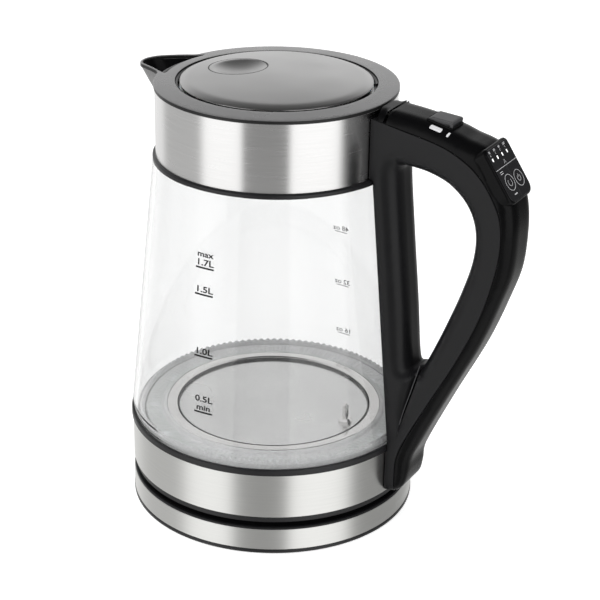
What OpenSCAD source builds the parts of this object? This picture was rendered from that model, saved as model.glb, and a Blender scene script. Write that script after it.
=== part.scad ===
// Cordless electric kettle: a tapered glass jug with a loop handle, on a round power base.
// Lengths are in millimetres. Z is up and the origin is on the jug's axis, on the table.
// +X points to the handle and -X to the spout.

/* [Power base] */
// Outer radius of the power base
base_r = 78.5; // [76:0.5:82]
// Height of the power base at its edge
base_h = 15.7; // [15.7:0.1:16.4]
// Height of the black rim under the base's steel band
base_rim_h = 2.6; // [2.2:0.1:3]
// Radius of the cord's hole in its gland
cord_r = 3.2; // [2.6:0.1:3.3]

/* [Jug] */
// Outer radius of the jug's lower steel band
band_r = 78.5; // [77.5:0.5:79]
// Thickness of the steel bands and of the collar
steel_t = 0.8; // [0.5:0.1:0.9]
// Thickness of the glass wall
glass_t = 2.6; // [2:0.1:3]
// Outer radius of the glass under the collar
glass_top_r = 65.1; // [64.8:0.1:65.4]
// Outer radius of the upper steel collar
collar_r = 63.5; // [63.3:0.1:63.8]
// Height of the heating plate's top face
plate_z = 51; // [50.6:0.1:51.2]
// Radius of the heating plate
plate_r = 59.3; // [58.8:0.1:59.4]
// Height of the rim's top face
rim_z = 238.3; // [238:0.1:238.6]
// Distance from the axis to the spout's tip
spout_reach = 82.7; // [80:0.1:84]
// Half-angle of the spout's mouth
spout_angle = 29; // [26:1:30]

/* [Lid] */
// Radius of the lid's steel cover
lid_r = 50.3; // [49.9:0.1:50.6]
// Height of the lid's centre above its edge
lid_dome = 3.2; // [2:0.1:4]
// Diameter of the finger dish in the lid
dish_d = 31.3; // [26:0.1:33]
// Depth of the finger dish
dish_depth = 3.4; // [2.5:0.1:3.8]
// Distance from the axis to the lid's hinge pin
hinge_x = 56.5; // [56.4:0.1:56.7]
// Height of the lid's hinge pin
hinge_z = 233.5; // [233.4:0.1:233.6]
// Radius of the hinge pin
pin_r = 1.5; // [1.3:0.1:1.6]

/* [Handle] */
// Width of the handle, across its mid-plane
handle_w = 28; // [27:0.5:29]
// Thickness of the handle's plastic walls
handle_wall = 2.2; // [1.8:0.1:2.4]
// Travel of the lid's release button
button_travel = 2.5; // [1:0.1:2.5]
// Travel of the two panel keys
key_travel = 0.6; // [0.3:0.1:0.6]

/* [Hidden] */
$fn = 96;
EPS = 0.01;

// Heights of the power base
foot_h = 2.2;
cover_z = 0.9;
roof_z = 10.4;
roof_t = 1.4;
deck_z = 13;
deck_t = 1.9;
// Radii of the cord store under the base
store_r1 = 32;
store_r2 = 56;
cord_z = 6.3;
gland_r = cord_r + 0.7;
notch_w = 8;
// Coupler between base and jug
boss_r = 17.5;
boss_z = 23.5;
ring_a = [6.4, 9.6];
ring_b = [12, 15.2];
socket_gap = 0.7;
// Heights of the jug's lower end
jug_z = 18.3;
band_z0 = 22.4;
band_z1 = 47.8;
ring_z1 = 51.3;
band_in_r = band_r - steel_t;
// Heights of the glass
glass_z0 = 48.8;
glass_z1 = 197;
neck_r = 62;
neck_z1 = 210;
// Upper end of the jug
collar_z0 = 199;
collar_z1 = 235.9;
rim_r = 64;
rim_in_r = 52.4;
rim_t = 1.6;
well_r = 51.2;
floor_z = 221.5;
latch_z = 228.4;
mouth_r = 59.3;
lip_t = 1.8;
// Hinge
hinge_gap = 0.05;
knuckle_r = 2.7;
knuckle_y = [10.4, 14.4];
// Handle
half_w = handle_w / 2;
clear = 0.3;
handle_screw_y = [-6, 6];
handle_screw_z = 216.6;
low_screw_z = 29.4;

function lerp(a, b, t) = a + (b - a) * t;
// Point of a smooth curve through p0..p3, between p1 and p2
function spline_point(p0, p1, p2, p3, t) =
    0.5 * (2 * p1 + (p2 - p0) * t + (2 * p0 - 5 * p1 + 4 * p2 - p3) * t * t
           + (3 * p1 - p0 - 3 * p2 + p3) * t * t * t);
// Smooth curve through a list of points, with steps pieces between each two
function spline(p, steps = 4) = [
    for (i = [0:len(p) - 2], k = [0:steps - 1])
        spline_point(p[max(i - 1, 0)], p[i], p[i + 1], p[min(i + 2, len(p) - 1)], k / steps),
    p[len(p) - 1]
];
// Curve moved sideways by d, to the right of its direction
function shift(p, d) = [
    for (i = [0:len(p) - 1])
        let (a = p[max(i - 1, 0)], b = p[min(i + 1, len(p) - 1)], u = (b - a) / norm(b - a))
        p[i] + d * [u[1], -u[0]]
];
function arc(c, r, a0, a1, steps = 12) =
    [for (k = [0:steps]) c + r * [cos(lerp(a0, a1, k / steps)), sin(lerp(a0, a1, k / steps))]];

module ring(r0, r1, z0, z1) {
    translate([0, 0, z0]) difference() {
        cylinder(r = r1, h = z1 - z0);
        translate([0, 0, -1]) cylinder(r = r0, h = z1 - z0 + 2);
    }
}
module disc(r, z0, z1) {
    translate([0, 0, z0]) cylinder(r = r, h = z1 - z0);
}
module box(x0, x1, y0, y1, z0, z1) {
    translate([x0, y0, z0]) cube([x1 - x0, y1 - y0, z1 - z0]);
}
module around(n, r, a0 = 0) {
    for (k = [0:n - 1]) rotate(a0 + 360 * k / n) translate([r, 0, 0]) children();
}
module both_sides() {
    children();
    mirror([0, 1, 0]) children();
}
// Flat shape in the X-Z plane, thickened along Y from y0 to y1
module plate_xz(y0, y1) {
    translate([0, y1, 0]) rotate([90, 0, 0]) linear_extrude(y1 - y0) children();
}
module cyl_y(x, z, r, y0, y1) {
    translate([x, y1, z]) rotate([90, 0, 0]) cylinder(r = r, h = y1 - y0);
}
module cyl_x(y, z, r, x0, x1) {
    translate([x0, y, z]) rotate([0, 90, 0]) cylinder(r = r, h = x1 - x0);
}
// Pan-head screw, head down at z0
module screw(z0, head_r, head_h, shank_r, length) {
    translate([0, 0, z0]) {
        difference() {
            cylinder(r = head_r, h = head_h, $fn = 32);
            translate([-head_r, -0.4, -1]) cube([2 * head_r, 0.8, 1.6]);
            translate([-0.4, -head_r, -1]) cube([0.8, 2 * head_r, 1.6]);
        }
        translate([0, 0, head_h - EPS]) cylinder(r = shank_r, h = length - head_h, $fn = 24);
    }
}
// Close-wound coil of wire rings, each pressed a little into the next, from 0 up to length
module coil(r, wire_r, length) {
    n = ceil((length - 2 * wire_r) / (1.8 * wire_r));
    pitch = (length - 2 * wire_r) / n;
    rotate_extrude($fn = 40) for (k = [0:n])
        translate([r, wire_r + k * pitch]) circle(wire_r, $fn = 16);
}

// ---- Power base ----
module cord_notch(top) {
    box(-notch_w / 2, notch_w / 2, store_r2 - 3, base_r + 5, -1, top);
}
module base_bottom_cover() {
    color("dimgray") difference() {
        rotate_extrude() polygon([
            [0, cover_z], [store_r1, cover_z], [store_r1, roof_z], [store_r2, roof_z],
            [store_r2, cover_z], [base_r, cover_z], [base_r, base_rim_h],
            [base_r - 0.9, base_rim_h], [base_r - 0.9, deck_z], [base_r - 2.9, deck_z],
            [base_r - 2.9, 3.8], [store_r2 + 2, 3.8], [store_r2 + 2, roof_z + roof_t],
            [store_r1 - 2, roof_z + roof_t], [store_r1 - 2, 1.9], [0, 1.9]
        ]);
        ring(65.85, 73.15, 0, foot_h);
        cord_notch(roof_z - 0.4);
        translate([0, store_r1 - 6, cord_z]) rotate([-90, 0, 0]) cylinder(r = gland_r + 0.1, h = 10);
        around(3, 61.8, 30) disc(3.2, 0, 2.4);
        around(3, 61.8, 30) disc(1.7, 0, 6);
    }
}
module base_top_cover() {
    color("dimgray") {
        rotate_extrude() polygon([
            [boss_r + 0.2, deck_z], [base_r - 0.9, deck_z], [base_r - 0.9, 14.7],
            [base_r - 0.3, 14.7], [base_r - 0.3, base_h - 0.4], [base_r - 0.7, base_h],
            [base_r - 2.2, base_h], [base_r - 3.4, deck_z + deck_t],
            [boss_r + 5.4, deck_z + deck_t], [boss_r + 4.6, 17.3], [boss_r + 0.8, 17.3],
            [boss_r + 0.2, 16.7]
        ]);
        difference() {
            around(3, 61.8, 30) disc(3.4, 3.9, deck_z + 0.5);
            around(3, 61.8, 30) disc(1.4, 3, 11);
        }
    }
}
module base_steel_band() {
    color("silver") difference() {
        ring(base_r - steel_t, base_r, base_rim_h, 14.7);
        cord_notch(roof_z - 0.4);
    }
}
module anti_slip_ring() {
    color("gray") difference() {
        ring(66, 73, 0, foot_h);
        cord_notch(roof_z);
    }
}
module base_coupler() {
    color("black") difference() {
        union() {
            disc(29, roof_z + roof_t, deck_z);
            rotate_extrude() polygon([
                [0, roof_z + roof_t], [boss_r, roof_z + roof_t], [boss_r, boss_z - 2],
                [boss_r - 2, boss_z], [0, boss_z]
            ]);
        }
        ring(ring_a[0], ring_a[1], 13.4, boss_z + 1);
        ring(ring_b[0], ring_b[1], 13.4, boss_z + 1);
        disc(3.2, 13.4, boss_z + 1);
    }
}
module base_contacts() {
    color("goldenrod") {
        ring(2.2, 3.1, 13.6, 21);
        ring(ring_a[1] - 0.9, ring_a[1] - 0.1, 13.6, 21);
        ring(ring_b[1] - 0.9, ring_b[1] - 0.1, 13.6, 21);
    }
}
// Three wires in the hub, from the gland up to the underside of the coupler
module base_wires() {
    color("saddlebrown") for (x = [-2.1, 0, 2.1])
        translate([x, 0, cord_z]) {
            rotate([-90, 0, 0]) translate([0, 0, 14]) cylinder(r = 0.9, h = 11.5, $fn = 20);
            translate([0, 14, 0]) sphere(r = 0.9, $fn = 20);
            translate([0, 14, 0]) cylinder(r = 0.9, h = 5, $fn = 20);
        }
}
module base_screws() {
    color("silver") around(3, 61.8, 30) screw(1.1, 3, 1.3, 1.3, 9);
}
module cord_gland() {
    color("black") difference() {
        translate([0, 26, cord_z]) rotate([-90, 0, 0]) cylinder(r = gland_r, h = 15);
        translate([0, 25, cord_z]) rotate([-90, 0, 0]) cylinder(r = cord_r, h = 17);
    }
}

// ---- Coupler on the jug's side ----
module jug_coupler() {
    socket_r = boss_r + socket_gap;
    color("black") rotate_extrude() polygon([
        [socket_r, jug_z + 0.3], [socket_r + 2, jug_z + 0.3], [socket_r + 2, 27.4],
        [27, 27.4], [27, 29.2], [0, 29.2], [0, boss_z + 1], [socket_r - 2, boss_z + 1],
        [socket_r, boss_z - 1]
    ]);
}
module jug_contacts() {
    color("goldenrod") {
        disc(1.5, 15, boss_z + 1);
        ring(6.9, 7.9, 15.5, boss_z + 1);
        ring(12.5, 13.5, 15.5, boss_z + 1);
    }
}

// ---- Lower end of the jug ----
lug_r = 71.8;
module jug_bottom_cover() {
    color("dimgray") difference() {
        union() {
            rotate_extrude() polygon([
                [20.6, jug_z], [61.6, jug_z], [62, 15.3], [65, 15.3], [65.4, jug_z],
                [76.8, jug_z], [77.6, 19.1], [77.6, band_z0], [77.4, band_z0], [77.4, 25.8],
                [75.6, 25.8], [75.6, 20.8], [22.8, 20.8], [22.8, 27], [20.6, 27]
            ]);
            around(3, lug_r, 60) disc(3.7, 20, 28);
        }
        around(3, lug_r, 60) disc(3.1, jug_z - 1, 20.6);
        around(3, lug_r, 60) disc(1.8, jug_z, 29);
    }
}
module bottom_screws() {
    color("silver") around(3, lug_r, 60) screw(18.7, 2.9, 1.8, 1.4, 18);
}
module lower_band() {
    color("silver") difference() {
        ring(band_in_r, band_r, band_z0, band_z1);
        box(70, 85, -7, 7, 33.5, 44);
        cyl_x(0, low_screw_z, 1.5, 70, 85);
    }
}
module seat_ring() {
    color("black") difference() {
        union() {
            rotate_extrude() polygon([
                [77.4, band_z1], [79.3, band_z1], [79.3, ring_z1 - 0.9], [78.9, ring_z1],
                [78.2, ring_z1], [77.7, glass_z0 - 0.2], [74.6, glass_z0 - 0.2], [74.6, 44.2],
                [72.6, 44.2], [72.6, 40], [75.4, 40], [75.4, 26.1], [77.4, 26.1]
            ]);
            around(3, lug_r, 60) disc(4, 28.2, 41.5);
        }
        around(3, lug_r, 60) disc(1.4, 28, 38.5);
        box(70, 85, -7, 7, 33, 39.8);
        cyl_x(0, low_screw_z, 1.5, 70, 85);
    }
}
module lower_gasket() {
    color("white") ring(72.7, 74.4, 44.3, 45.4);
}
module glass_jug() {
    color([0.85, 0.9, 0.92, 0.35]) rotate_extrude($fn = 144) polygon([
        [77.4, glass_z0], [78.1, 52], [78.5, 56.5], [glass_top_r, glass_z1],
        [neck_r + 0.8, glass_z1 + 1.6], [neck_r, glass_z1 + 3], [neck_r, neck_z1],
        [neck_r - glass_t, neck_z1], [neck_r - glass_t, glass_z1 + 3],
        [glass_top_r - glass_t, glass_z1 - 0.5], [78.5 - glass_t, 56.5], [78.1 - glass_t, 52],
        [77.4 - glass_t, glass_z0]
    ]);
}
module light_ring() {
    color([0.9, 0.92, 0.95, 0.6]) rotate_extrude() polygon([
        [plate_r + 0.3, 45.5], [74.3, 45.5], [74.3, 54.4], [72.9, 54.4], [72, 52.3],
        [62.2, 51.3], [61.2, 52.7], [plate_r + 0.3, 52.7]
    ]);
}
module led_board() {
    color("darkgreen") ring(61.8, 72.3, 42.4, 43.6);
}
module led_lamps() {
    color("lightblue") around(12, 67) translate([-1.75, -1.4, 43.6]) cube([3.5, 2.8, 1.5]);
}
probe_x = 45.5;
module heating_plate() {
    color("silver") difference() {
        rotate_extrude() polygon([
            [0, plate_z - 1.2], [plate_r - 1.9, plate_z - 1.2], [plate_r - 1, plate_z - 1.8],
            [plate_r - 1, 45.5], [plate_r, 45.5], [plate_r, plate_z - 1.2],
            [plate_r - 1.6, plate_z], [0, plate_z]
        ]);
        translate([probe_x, 0, 40]) cylinder(r = 1.85, h = 20);
    }
}
module plate_gasket() {
    color("white") ring(57.6, 61.4, 44.3, 45.4);
}
module plate_clamp() {
    color("silver") difference() {
        ring(54, 61.4, 42.9, 44.2);
        around(3, 57.5, 90) disc(1.6, 42, 45);
    }
}
module heating_element() {
    color("gray") rotate(25) rotate_extrude(angle = 310)
        translate([34, plate_z - 5.4]) circle(4, $fn = 32);
}
module element_terminals() {
    color("gainsboro") for (a = [28, 332]) rotate(a) translate([34, 0, 0]) {
        disc(1.6, 34, plate_z - 9.5);
        translate([-0.4, -3, 28.5]) cube([0.8, 6, 6]);
    }
}
// Bracket with two bimetal discs on posts, between the coupler and the plate
module thermal_cutout() {
    color("ivory") {
        box(-22, 22, -13, 13, 31, 34.5);
        for (x = [-15, 15]) translate([x, 0, 0]) {
            disc(5, 34.5 - EPS, 46);
            disc(7.5, 46 - EPS, plate_z - 1.4);
        }
    }
}
module temperature_probe() {
    color("silver") translate([probe_x, 0, 0]) rotate_extrude($fn = 40) polygon([
        [0, 40], [1.7, 40], [1.7, plate_z], [3.9, plate_z], [3.9, plate_z + 1.3],
        [2.9, plate_z + 2.6], [1.7, plate_z + 2.8], [1.7, plate_z + 10.6],
        [1, plate_z + 11.4], [0, plate_z + 11.4]
    ]);
}
module probe_nut() {
    color("silver") translate([probe_x, 0, 0]) difference() {
        translate([0, 0, 46.9]) cylinder(r = 4.2, h = plate_z - 1.3 - 46.9, $fn = 6);
        disc(1.8, 46, plate_z);
    }
}

// ---- Upper end of the jug ----
module upper_gasket() {
    color("white") ring(neck_r + 0.1, collar_r - steel_t - 0.1, collar_z0 + 2.6, neck_z1);
}
module collar_ring() {
    color("black") rotate_extrude() polygon([
        [collar_r - 0.55, collar_z0 - 0.1], [collar_r - 0.55, 198.65], [65.25, 197.05],
        [65.3, 196.7], [65.6, 196.7], [66, 197.2], [65.6, 199.3], [collar_r + 0.2, 199.6],
        [collar_r + 0.2, collar_z0 - 0.1]
    ]);
}
// Plan of the spout's mouth, widened by grow, with a rounded tip
module mouth_plan(grow) {
    tip_r = 9.2;
    c = spout_reach - tip_r;
    a = spout_angle;
    back = 40;
    p = [-c, 0] + (tip_r + grow) * [-sin(a), cos(a)];
    q = p + back * [cos(a), sin(a)];
    tip = arc([-c, 0], tip_r + grow, 90 + a, 270 - a);
    polygon(concat([q], tip, [[q[0], -q[1]]]));
}
// Solid wedge of the spout, from the mouth down to a narrow toe on the collar
module spout_wedge(grow, top_z, toe_z) {
    hull() {
        translate([0, 0, top_z - 1]) linear_extrude(1) intersection() {
            mouth_plan(grow);
            translate([-100, -60]) square([100 - 44, 120]);
        }
        box(-64.6 - grow, -58, -1.5 - grow, 1.5 + grow, toe_z - grow, toe_z + 1);
    }
}
toe_z = 212;
module upper_collar() {
    color("silver") difference() {
        ring(collar_r - steel_t, collar_r, collar_z0, collar_z1);
        spout_wedge(lip_t, rim_z, toe_z);
        box(50, 70, -5.2, 5.2, 224, collar_z1 + 1);
        for (y = handle_screw_y) cyl_x(y, handle_screw_z, 1.5, 50, 70);
    }
}
// Flat ring round the lid, with the spout
module rim() {
    color("gray") difference() {
        union() {
            ring(rim_in_r, rim_r, rim_z - rim_t, rim_z);
            ring(collar_r - steel_t - 1.5, rim_r, collar_z1 + 0.1, rim_z - 0.5);
            difference() {
                spout_wedge(lip_t, rim_z, toe_z);
                disc(60, 0, 300);
            }
        }
        difference() {
            spout_wedge(0, rim_z + 0.1, toe_z + 1);
            disc(mouth_r, rim_z - rim_t, rim_z + 1);
        }
    }
}
// Inner moulding under the rim: the well that the lid drops into, its floor and the hinge's posts
module lid_well() {
    top_z = rim_z - rim_t - 0.1;
    wall_r = collar_r - steel_t - 1.7;
    color("black") difference() {
        union() {
            ring(wall_r - 1.1, wall_r, floor_z, top_z);
            ring(well_r, well_r + 1.7, floor_z, top_z);
            ring(well_r, wall_r - 0.5, floor_z, floor_z + 2);
            both_sides() {
                box(-59.5, -50.6, 14, 15.4, floor_z, top_z);
                box(53.5, 60, 5.6, 7.6, floor_z + 1, top_z);
                box(53.5, 58.6, 14.8, 16.8, floor_z + 1, top_z);
            }
        }
        spout_wedge(lip_t + 0.1, rim_z, toe_z);
        // Way up for the water, in front of the lid's well
        box(-62, -well_r - 1.6, -12, 12, floor_z - 1, floor_z + 3);
        // Slot for the lid's arms, room for their knuckles, and the way of the latch
        box(44, 53.4, -15.6, 15.6, floor_z + 2, rim_z - rim_t);
        both_sides() box(53, 63, 9.8, 14.8, floor_z + 2, rim_z - rim_t);
        box(50, 66, -4.6, 4.6, 227.8, 232.4);
        both_sides() cyl_y(hinge_x, hinge_z, pin_r, 5, 16.2);
    }
}
filter_r = 49.6;
filter_z0 = 205;
// Basket under the rim's floor, with two windows in its curved front
module spout_filter() {
    color("black") difference() {
        intersection() {
            ring(filter_r, 58.6, filter_z0, floor_z - 0.1);
            box(-60, -30, -16, 16, 200, 240);
        }
        difference() {
            box(-62, -30, -14.4, 14.4, filter_z0 + 1.6, 240);
            ring(filter_r - 1, filter_r + 1.6, 200, 240);
        }
        for (y = [-14, 0.8]) box(-60, -30, y, y + 13.2, filter_z0 + 2, floor_z - 1.8);
    }
}
// Woven screen behind the frame, drawn as a thin sheet with rows of square holes
module filter_mesh() {
    color("silver") difference() {
        intersection() {
            ring(filter_r - 0.4, filter_r - 0.1, filter_z0 + 0.6, floor_z - 0.6);
            box(-60, -30, -14.6, 14.6, 200, 240);
        }
        for (y = [-13.4:2.4:12.6], z = [filter_z0 + 2:2.4:floor_z - 3])
            box(-60, -30, y, y + 1.5, z, z + 1.5);
    }
}
module hinge_pins() {
    color("silver") both_sides() cyl_y(hinge_x, hinge_z, pin_r, 5.8, 16);
}
module lid_springs() {
    color("silver") both_sides() {
        translate([hinge_x, 10, hinge_z]) rotate([90, 0, 0]) coil(2.2, 0.4, 2);
        box(hinge_x + 1.95, hinge_x + 2.45, 8.7, 9.3, hinge_z, hinge_z + 2.9);
    }
}

// ---- Lid ----
lid_edge_z = rim_z + 1.4;
lid_t = 0.8;
lid_ball_r = (lid_r * lid_r + lid_dome * lid_dome) / (2 * lid_dome);
dish_x = -23.2;
function dome_z(r) = lid_edge_z + lid_dome - (lid_ball_r - sqrt(lid_ball_r * lid_ball_r - r * r));
dish_ball_r = (dish_d * dish_d / 4 + dish_depth * dish_depth) / (2 * dish_depth);
dish_ball_z = dome_z(dish_x) - dish_depth + dish_ball_r;
module dome_solid(drop, r) {
    rotate_extrude() polygon(concat(
        [for (k = [0:10]) [r * k / 10, dome_z(min(r, lid_r) * k / 10) - drop]],
        [[r, rim_z - 2], [0, rim_z - 2]]
    ));
}
module lid_cover() {
    color("lightgray") difference() {
        union() {
            difference() {
                dome_solid(0, lid_r);
                dome_solid(lid_t, lid_r - 0.9);
                disc(lid_r + 1, rim_z - 3, rim_z + 0.3);
            }
            intersection() {
                dome_solid(0.1, lid_r);
                translate([dish_x, 0, dish_ball_z]) sphere(r = dish_ball_r + lid_t);
            }
        }
        translate([dish_x, 0, dish_ball_z]) sphere(r = dish_ball_r);
    }
}
plug_r = 49.3;
plug_z = 226;
module lid_arm() {
    difference() {
        plate_xz(knuckle_y[0], knuckle_y[1]) union() {
            translate([hinge_x, hinge_z]) circle(knuckle_r);
            polygon([
                [hinge_x - knuckle_r, hinge_z], [hinge_x - knuckle_r, plug_z + 1.5],
                [44, plug_z + 1.5], [44, plug_z - 1.4], [hinge_x - 1, plug_z - 1.4],
                [hinge_x + knuckle_r - 1, plug_z + 1], [hinge_x + knuckle_r, hinge_z]
            ]);
        }
        cyl_y(hinge_x, hinge_z, pin_r + hinge_gap, knuckle_y[0] - 1, knuckle_y[1] + 1);
    }
}
module lid_inner_cover() {
    color("dimgray") {
        difference() {
            rotate_extrude() polygon([
                [0, plug_z], [plug_r - 1, plug_z], [plug_r, plug_z + 1], [plug_r, 232.8],
                [plug_r - 0.8, 232.8], [plug_r - 0.8, 235.2], [plug_r, 235.2],
                [plug_r, rim_z + 0.2], [plug_r - 2, rim_z + 0.2], [plug_r - 2, plug_z + 1.8],
                [0, plug_z + 1.8]
            ]);
            box(45, 52, -5, 5, 228, 232.2);
            around(3, 38, 60) disc(1.6, plug_z - 1, plug_z + 3);
        }
        around(3, 38, 60) ring(1.6, 3.2, plug_z + 1.7, 237.5);
        both_sides() lid_arm();
    }
}
// Seal round the lid's plug, open over the slot for the lid's arms
module lid_gasket() {
    color("white") difference() {
        ring(plug_r - 0.7, 50.7, 232.9, 235.1);
        box(40, 60, -17, 17, 230, 240);
    }
}
module lid_screws() {
    color("silver") around(3, 38, 60) screw(plug_z - 1.4, 2.6, 1.4, 1.35, 11);
}

// ---- Handle ----
outer_line = spline([
    [60, 237.2], [74, 236.6], [89, 234.9], [104, 231.6], [112, 229.1], [118, 227.7],
    [122.8, 225.8], [127.2, 220.6], [133.6, 211.1], [138.9, 202.9], [141.2, 194.5], [142, 182],
    [140.7, 163], [135.2, 144.5], [125, 117.5], [108, 82.5], [94, 52.5], [90.3, 43],
    [89.3, 35], [87.6, 28], [84.2, 24], [80, 22.8], [76, 22.8]
]);
seam_line = spline([
    [60, 233], [80, 229.2], [98, 225.8], [109, 222], [120, 215.2], [129, 204.5],
    [135.2, 190], [135, 169], [127.6, 139], [115.6, 110.5], [101.4, 83], [88.6, 57.5],
    [84, 45], [83.2, 34], [83.4, 20]
]);
opening_line = spline([
    [81, 209.6], [94, 208], [106, 203.4], [115.6, 194], [120, 181.5], [119.2, 166],
    [114, 147.5], [106, 126], [97.4, 105.6], [93.4, 98.6], [89, 96.8], [86.6, 101],
    [84, 131], [80, 170], [77.2, 200], [77.6, 207.4], [81, 209.6]
]);
// Middle line of the wires, from the control board down to the jug's lower end
wire_line = spline([
    [125.7, 204.7], [127.6, 193], [128, 178], [125, 160], [108.5, 112], [87.5, 62], [83.4, 50],
    [80.8, 42], [76, 37.6], [71, 36.8]
], 3);
function closed_at_jug(line) = concat([[55, line[0][1]]], line, [[55, line[len(line) - 1][1]]]);
// Everything outside the jug, with a small gap
module jug_room() {
    rotate_extrude() polygon([
        [0, 10], [band_r + clear, 10], [band_r + clear, 47.4], [79.6, 47.6], [79.6, 51.6],
        [78.8 + clear, 52], [78.8 + clear, 56.5],
        [glass_top_r + clear, 195.9], [66 + clear, 196], [66 + clear, 199.6],
        [collar_r + clear, 200], [collar_r + clear, 235.7], [rim_r + clear, 235.7],
        [rim_r + clear, 250], [0, 250]
    ]);
}
// Wall of the handle that lies along the glass and the collar
module jug_side_wall() {
    wall_r = clear + handle_wall;
    rotate_extrude() polygon([
        [0, 47], [78.8 + wall_r, 47], [78.8 + wall_r, 56.5], [66 + wall_r, 196],
        [66 + wall_r, 221], [0, 221]
    ]);
}
// Layers of the handle: half-thickness and how far the outline is drawn in
handle_layers = [[half_w - 3, 0], [half_w - 1, 1], [half_w, 3]];
module handle_layer(half, inset, seam_side) {
    plate_xz(-half, half) difference() {
        intersection() {
            polygon(closed_at_jug(shift(outer_line, inset)));
            if (seam_side > 0) {
                difference() {
                    square([200, 300]);
                    polygon(closed_at_jug(seam_line));
                }
            } else {
                polygon(closed_at_jug(shift(seam_line, 0.15)));
            }
        }
        polygon(shift(opening_line, -inset));
    }
}
module handle_solid(seam_side) {
    for (layer = handle_layers) handle_layer(layer[0], layer[1], seam_side);
}
// Hollow inside the whole handle
module handle_hollow() {
    inner_w = half_w - handle_wall;
    difference() {
        plate_xz(-inner_w, inner_w) difference() {
            polygon(closed_at_jug(shift(outer_line, handle_wall)));
            polygon(shift(opening_line, -handle_wall));
            square([200, 33]);
        }
        jug_side_wall();
    }
}
cap_x = 70.2;
button_tilt = 12.4;
button_len = 13.4;
button_w = 12;
panel_tilt = 56;
panel_len = 31;
panel_w = 27.2;
panel_split = 3;
key_y = 5;
key_s = -5.4;
lamp_y = [-8.6, -2.9, 2.9, 8.6];
lamp_s = 7.9;
// Frame with +X along the outward normal of the panel and +Z up its face
module at_panel() {
    translate([130.6, 0, 213.1]) rotate([0, panel_tilt - 90, 0]) children();
}
// Frame at the middle of the button, with +Z against its travel
module at_button() {
    translate([96.7, 0, 233.2]) rotate([0, button_tilt, 0]) children();
}
// Shelves for the button's springs, guides for the latch, and screw bosses
module inner_shell_ribs() {
    both_sides() {
        at_button() box(-2.4, 2.4, 4.6, half_w - 1, -13.4, -11.6);
        box(72, 78, 4.3, half_w - 1, 223.4, 230);
        box(84, 87, 4.3, half_w - 1, 222.4, 230);
    }
    box(72, 78, -half_w + 1, half_w - 1, 222.4, 225.1);
    for (y = handle_screw_y) cyl_x(y, handle_screw_z, 3.4, 60, 74);
}
module handle_inner_shell() {
    color("black") difference() {
        union() {
            difference() {
                handle_solid(-1);
                handle_hollow();
            }
            intersection() {
                handle_solid(-1);
                inner_shell_ribs();
            }
        }
        jug_room();
        for (y = handle_screw_y) cyl_x(y, handle_screw_z, 1.3, 50, 73);
        cyl_x(0, low_screw_z, 1.2, 70, 85.5);
    }
}
module handle_outer_cover() {
    hole_len = button_len / 2 + clear;
    hole_w = button_w / 2 + clear;
    panel_z = panel_len / 2 + clear;
    color([0.12, 0.12, 0.12]) {
        difference() {
            handle_solid(1);
            handle_hollow();
            jug_room();
            at_button() box(-hole_len, hole_len, -hole_w, hole_w, -8, 8);
            at_panel() box(-3.4 - clear, 8, -20, 20, -panel_z, panel_z);
            box(50, cap_x + 0.2, -20, 20, 225, 245);
        }
        // Rib behind the latch's spring
        box(110.6, 112.2, -half_w + 1.5, half_w - 1.5, 222.3, 226);
        box(110.6, 112.2, -9.5, 9.5, spring_z - 3, 222.5);
    }
}
module handle_cap() {
    color([0.15, 0.15, 0.15]) difference() {
        intersection() {
            handle_solid(1);
            box(50, cap_x, -20, 20, 225, 245);
        }
        handle_hollow();
        jug_room();
    }
}
module handle_screws() {
    color("silver") {
        for (y = handle_screw_y) {
            cyl_x(y, handle_screw_z, 1.3, 61, 72);
            cyl_x(y, handle_screw_z, 2.6, 60.5, 62);
        }
        cyl_x(0, low_screw_z, 1.2, 75, 82.3);
        cyl_x(0, low_screw_z, 2.4, 73.6, 75.1);
    }
}
module handle_wires() {
    n = len(wire_line);
    color("red") for (y = [-2.4, 0, 2.4]) plate_xz(y - 0.6, y + 0.6)
        polygon(concat(
            shift(wire_line, 0.6),
            [for (k = [0:n - 1]) shift(wire_line, -0.6)[n - 1 - k]]
        ));
}
module control_board() {
    color("darkgreen") at_panel() box(-8.2, -6.6, -10.4, 10.4, -13.6, 13.2);
}
module key_switches() {
    color("dimgray") at_panel() for (y = [-key_y, key_y])
        box(-6.6, -4.4, y - 2.2, y + 2.2, key_s - 2.2, key_s + 2.2);
}
module panel_frame() {
    color("black") at_panel() difference() {
        box(-3.4, 2.2, -panel_w / 2, panel_w / 2, -panel_len / 2, panel_len / 2);
        box(-2, 3, -panel_w / 2 + 0.9, panel_w / 2 - 0.9, -panel_len / 2 + 0.9, panel_len / 2 - 0.9);
        for (y = [-key_y, key_y]) translate([-5, y, key_s]) rotate([0, 90, 0]) cylinder(r = 1.8, h = 5);
        for (y = lamp_y) box(-5, 3, y - 1.1, y + 1.1, lamp_s - 1.6, lamp_s + 1.6);
    }
}
module panel_window() {
    color("black") at_panel()
        box(1, 2.4, -panel_w / 2 + 1.1, panel_w / 2 - 1.1, panel_split + 0.1, panel_len / 2 - 1.1);
}
module panel_lamps() {
    color("white") at_panel() for (y = lamp_y)
        box(-6.6, 0.9, y - 0.8, y + 0.8, lamp_s - 1.1, lamp_s + 1.1);
}
// Cap of one panel key with its stem, on the side of the panel given by side
module panel_key(side) {
    w = panel_w / 2 - 1.1;
    at_panel() {
        box(1, 2.4, side > 0 ? 0.12 : -w, side > 0 ? w : -0.12, -panel_len / 2 + 1.1,
            panel_split - 0.1);
        translate([-4.4 + key_travel + 0.2, side * key_y, key_s]) rotate([0, 90, 0])
            cylinder(r = 1.5, h = 5.4 - key_travel);
    }
}
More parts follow.
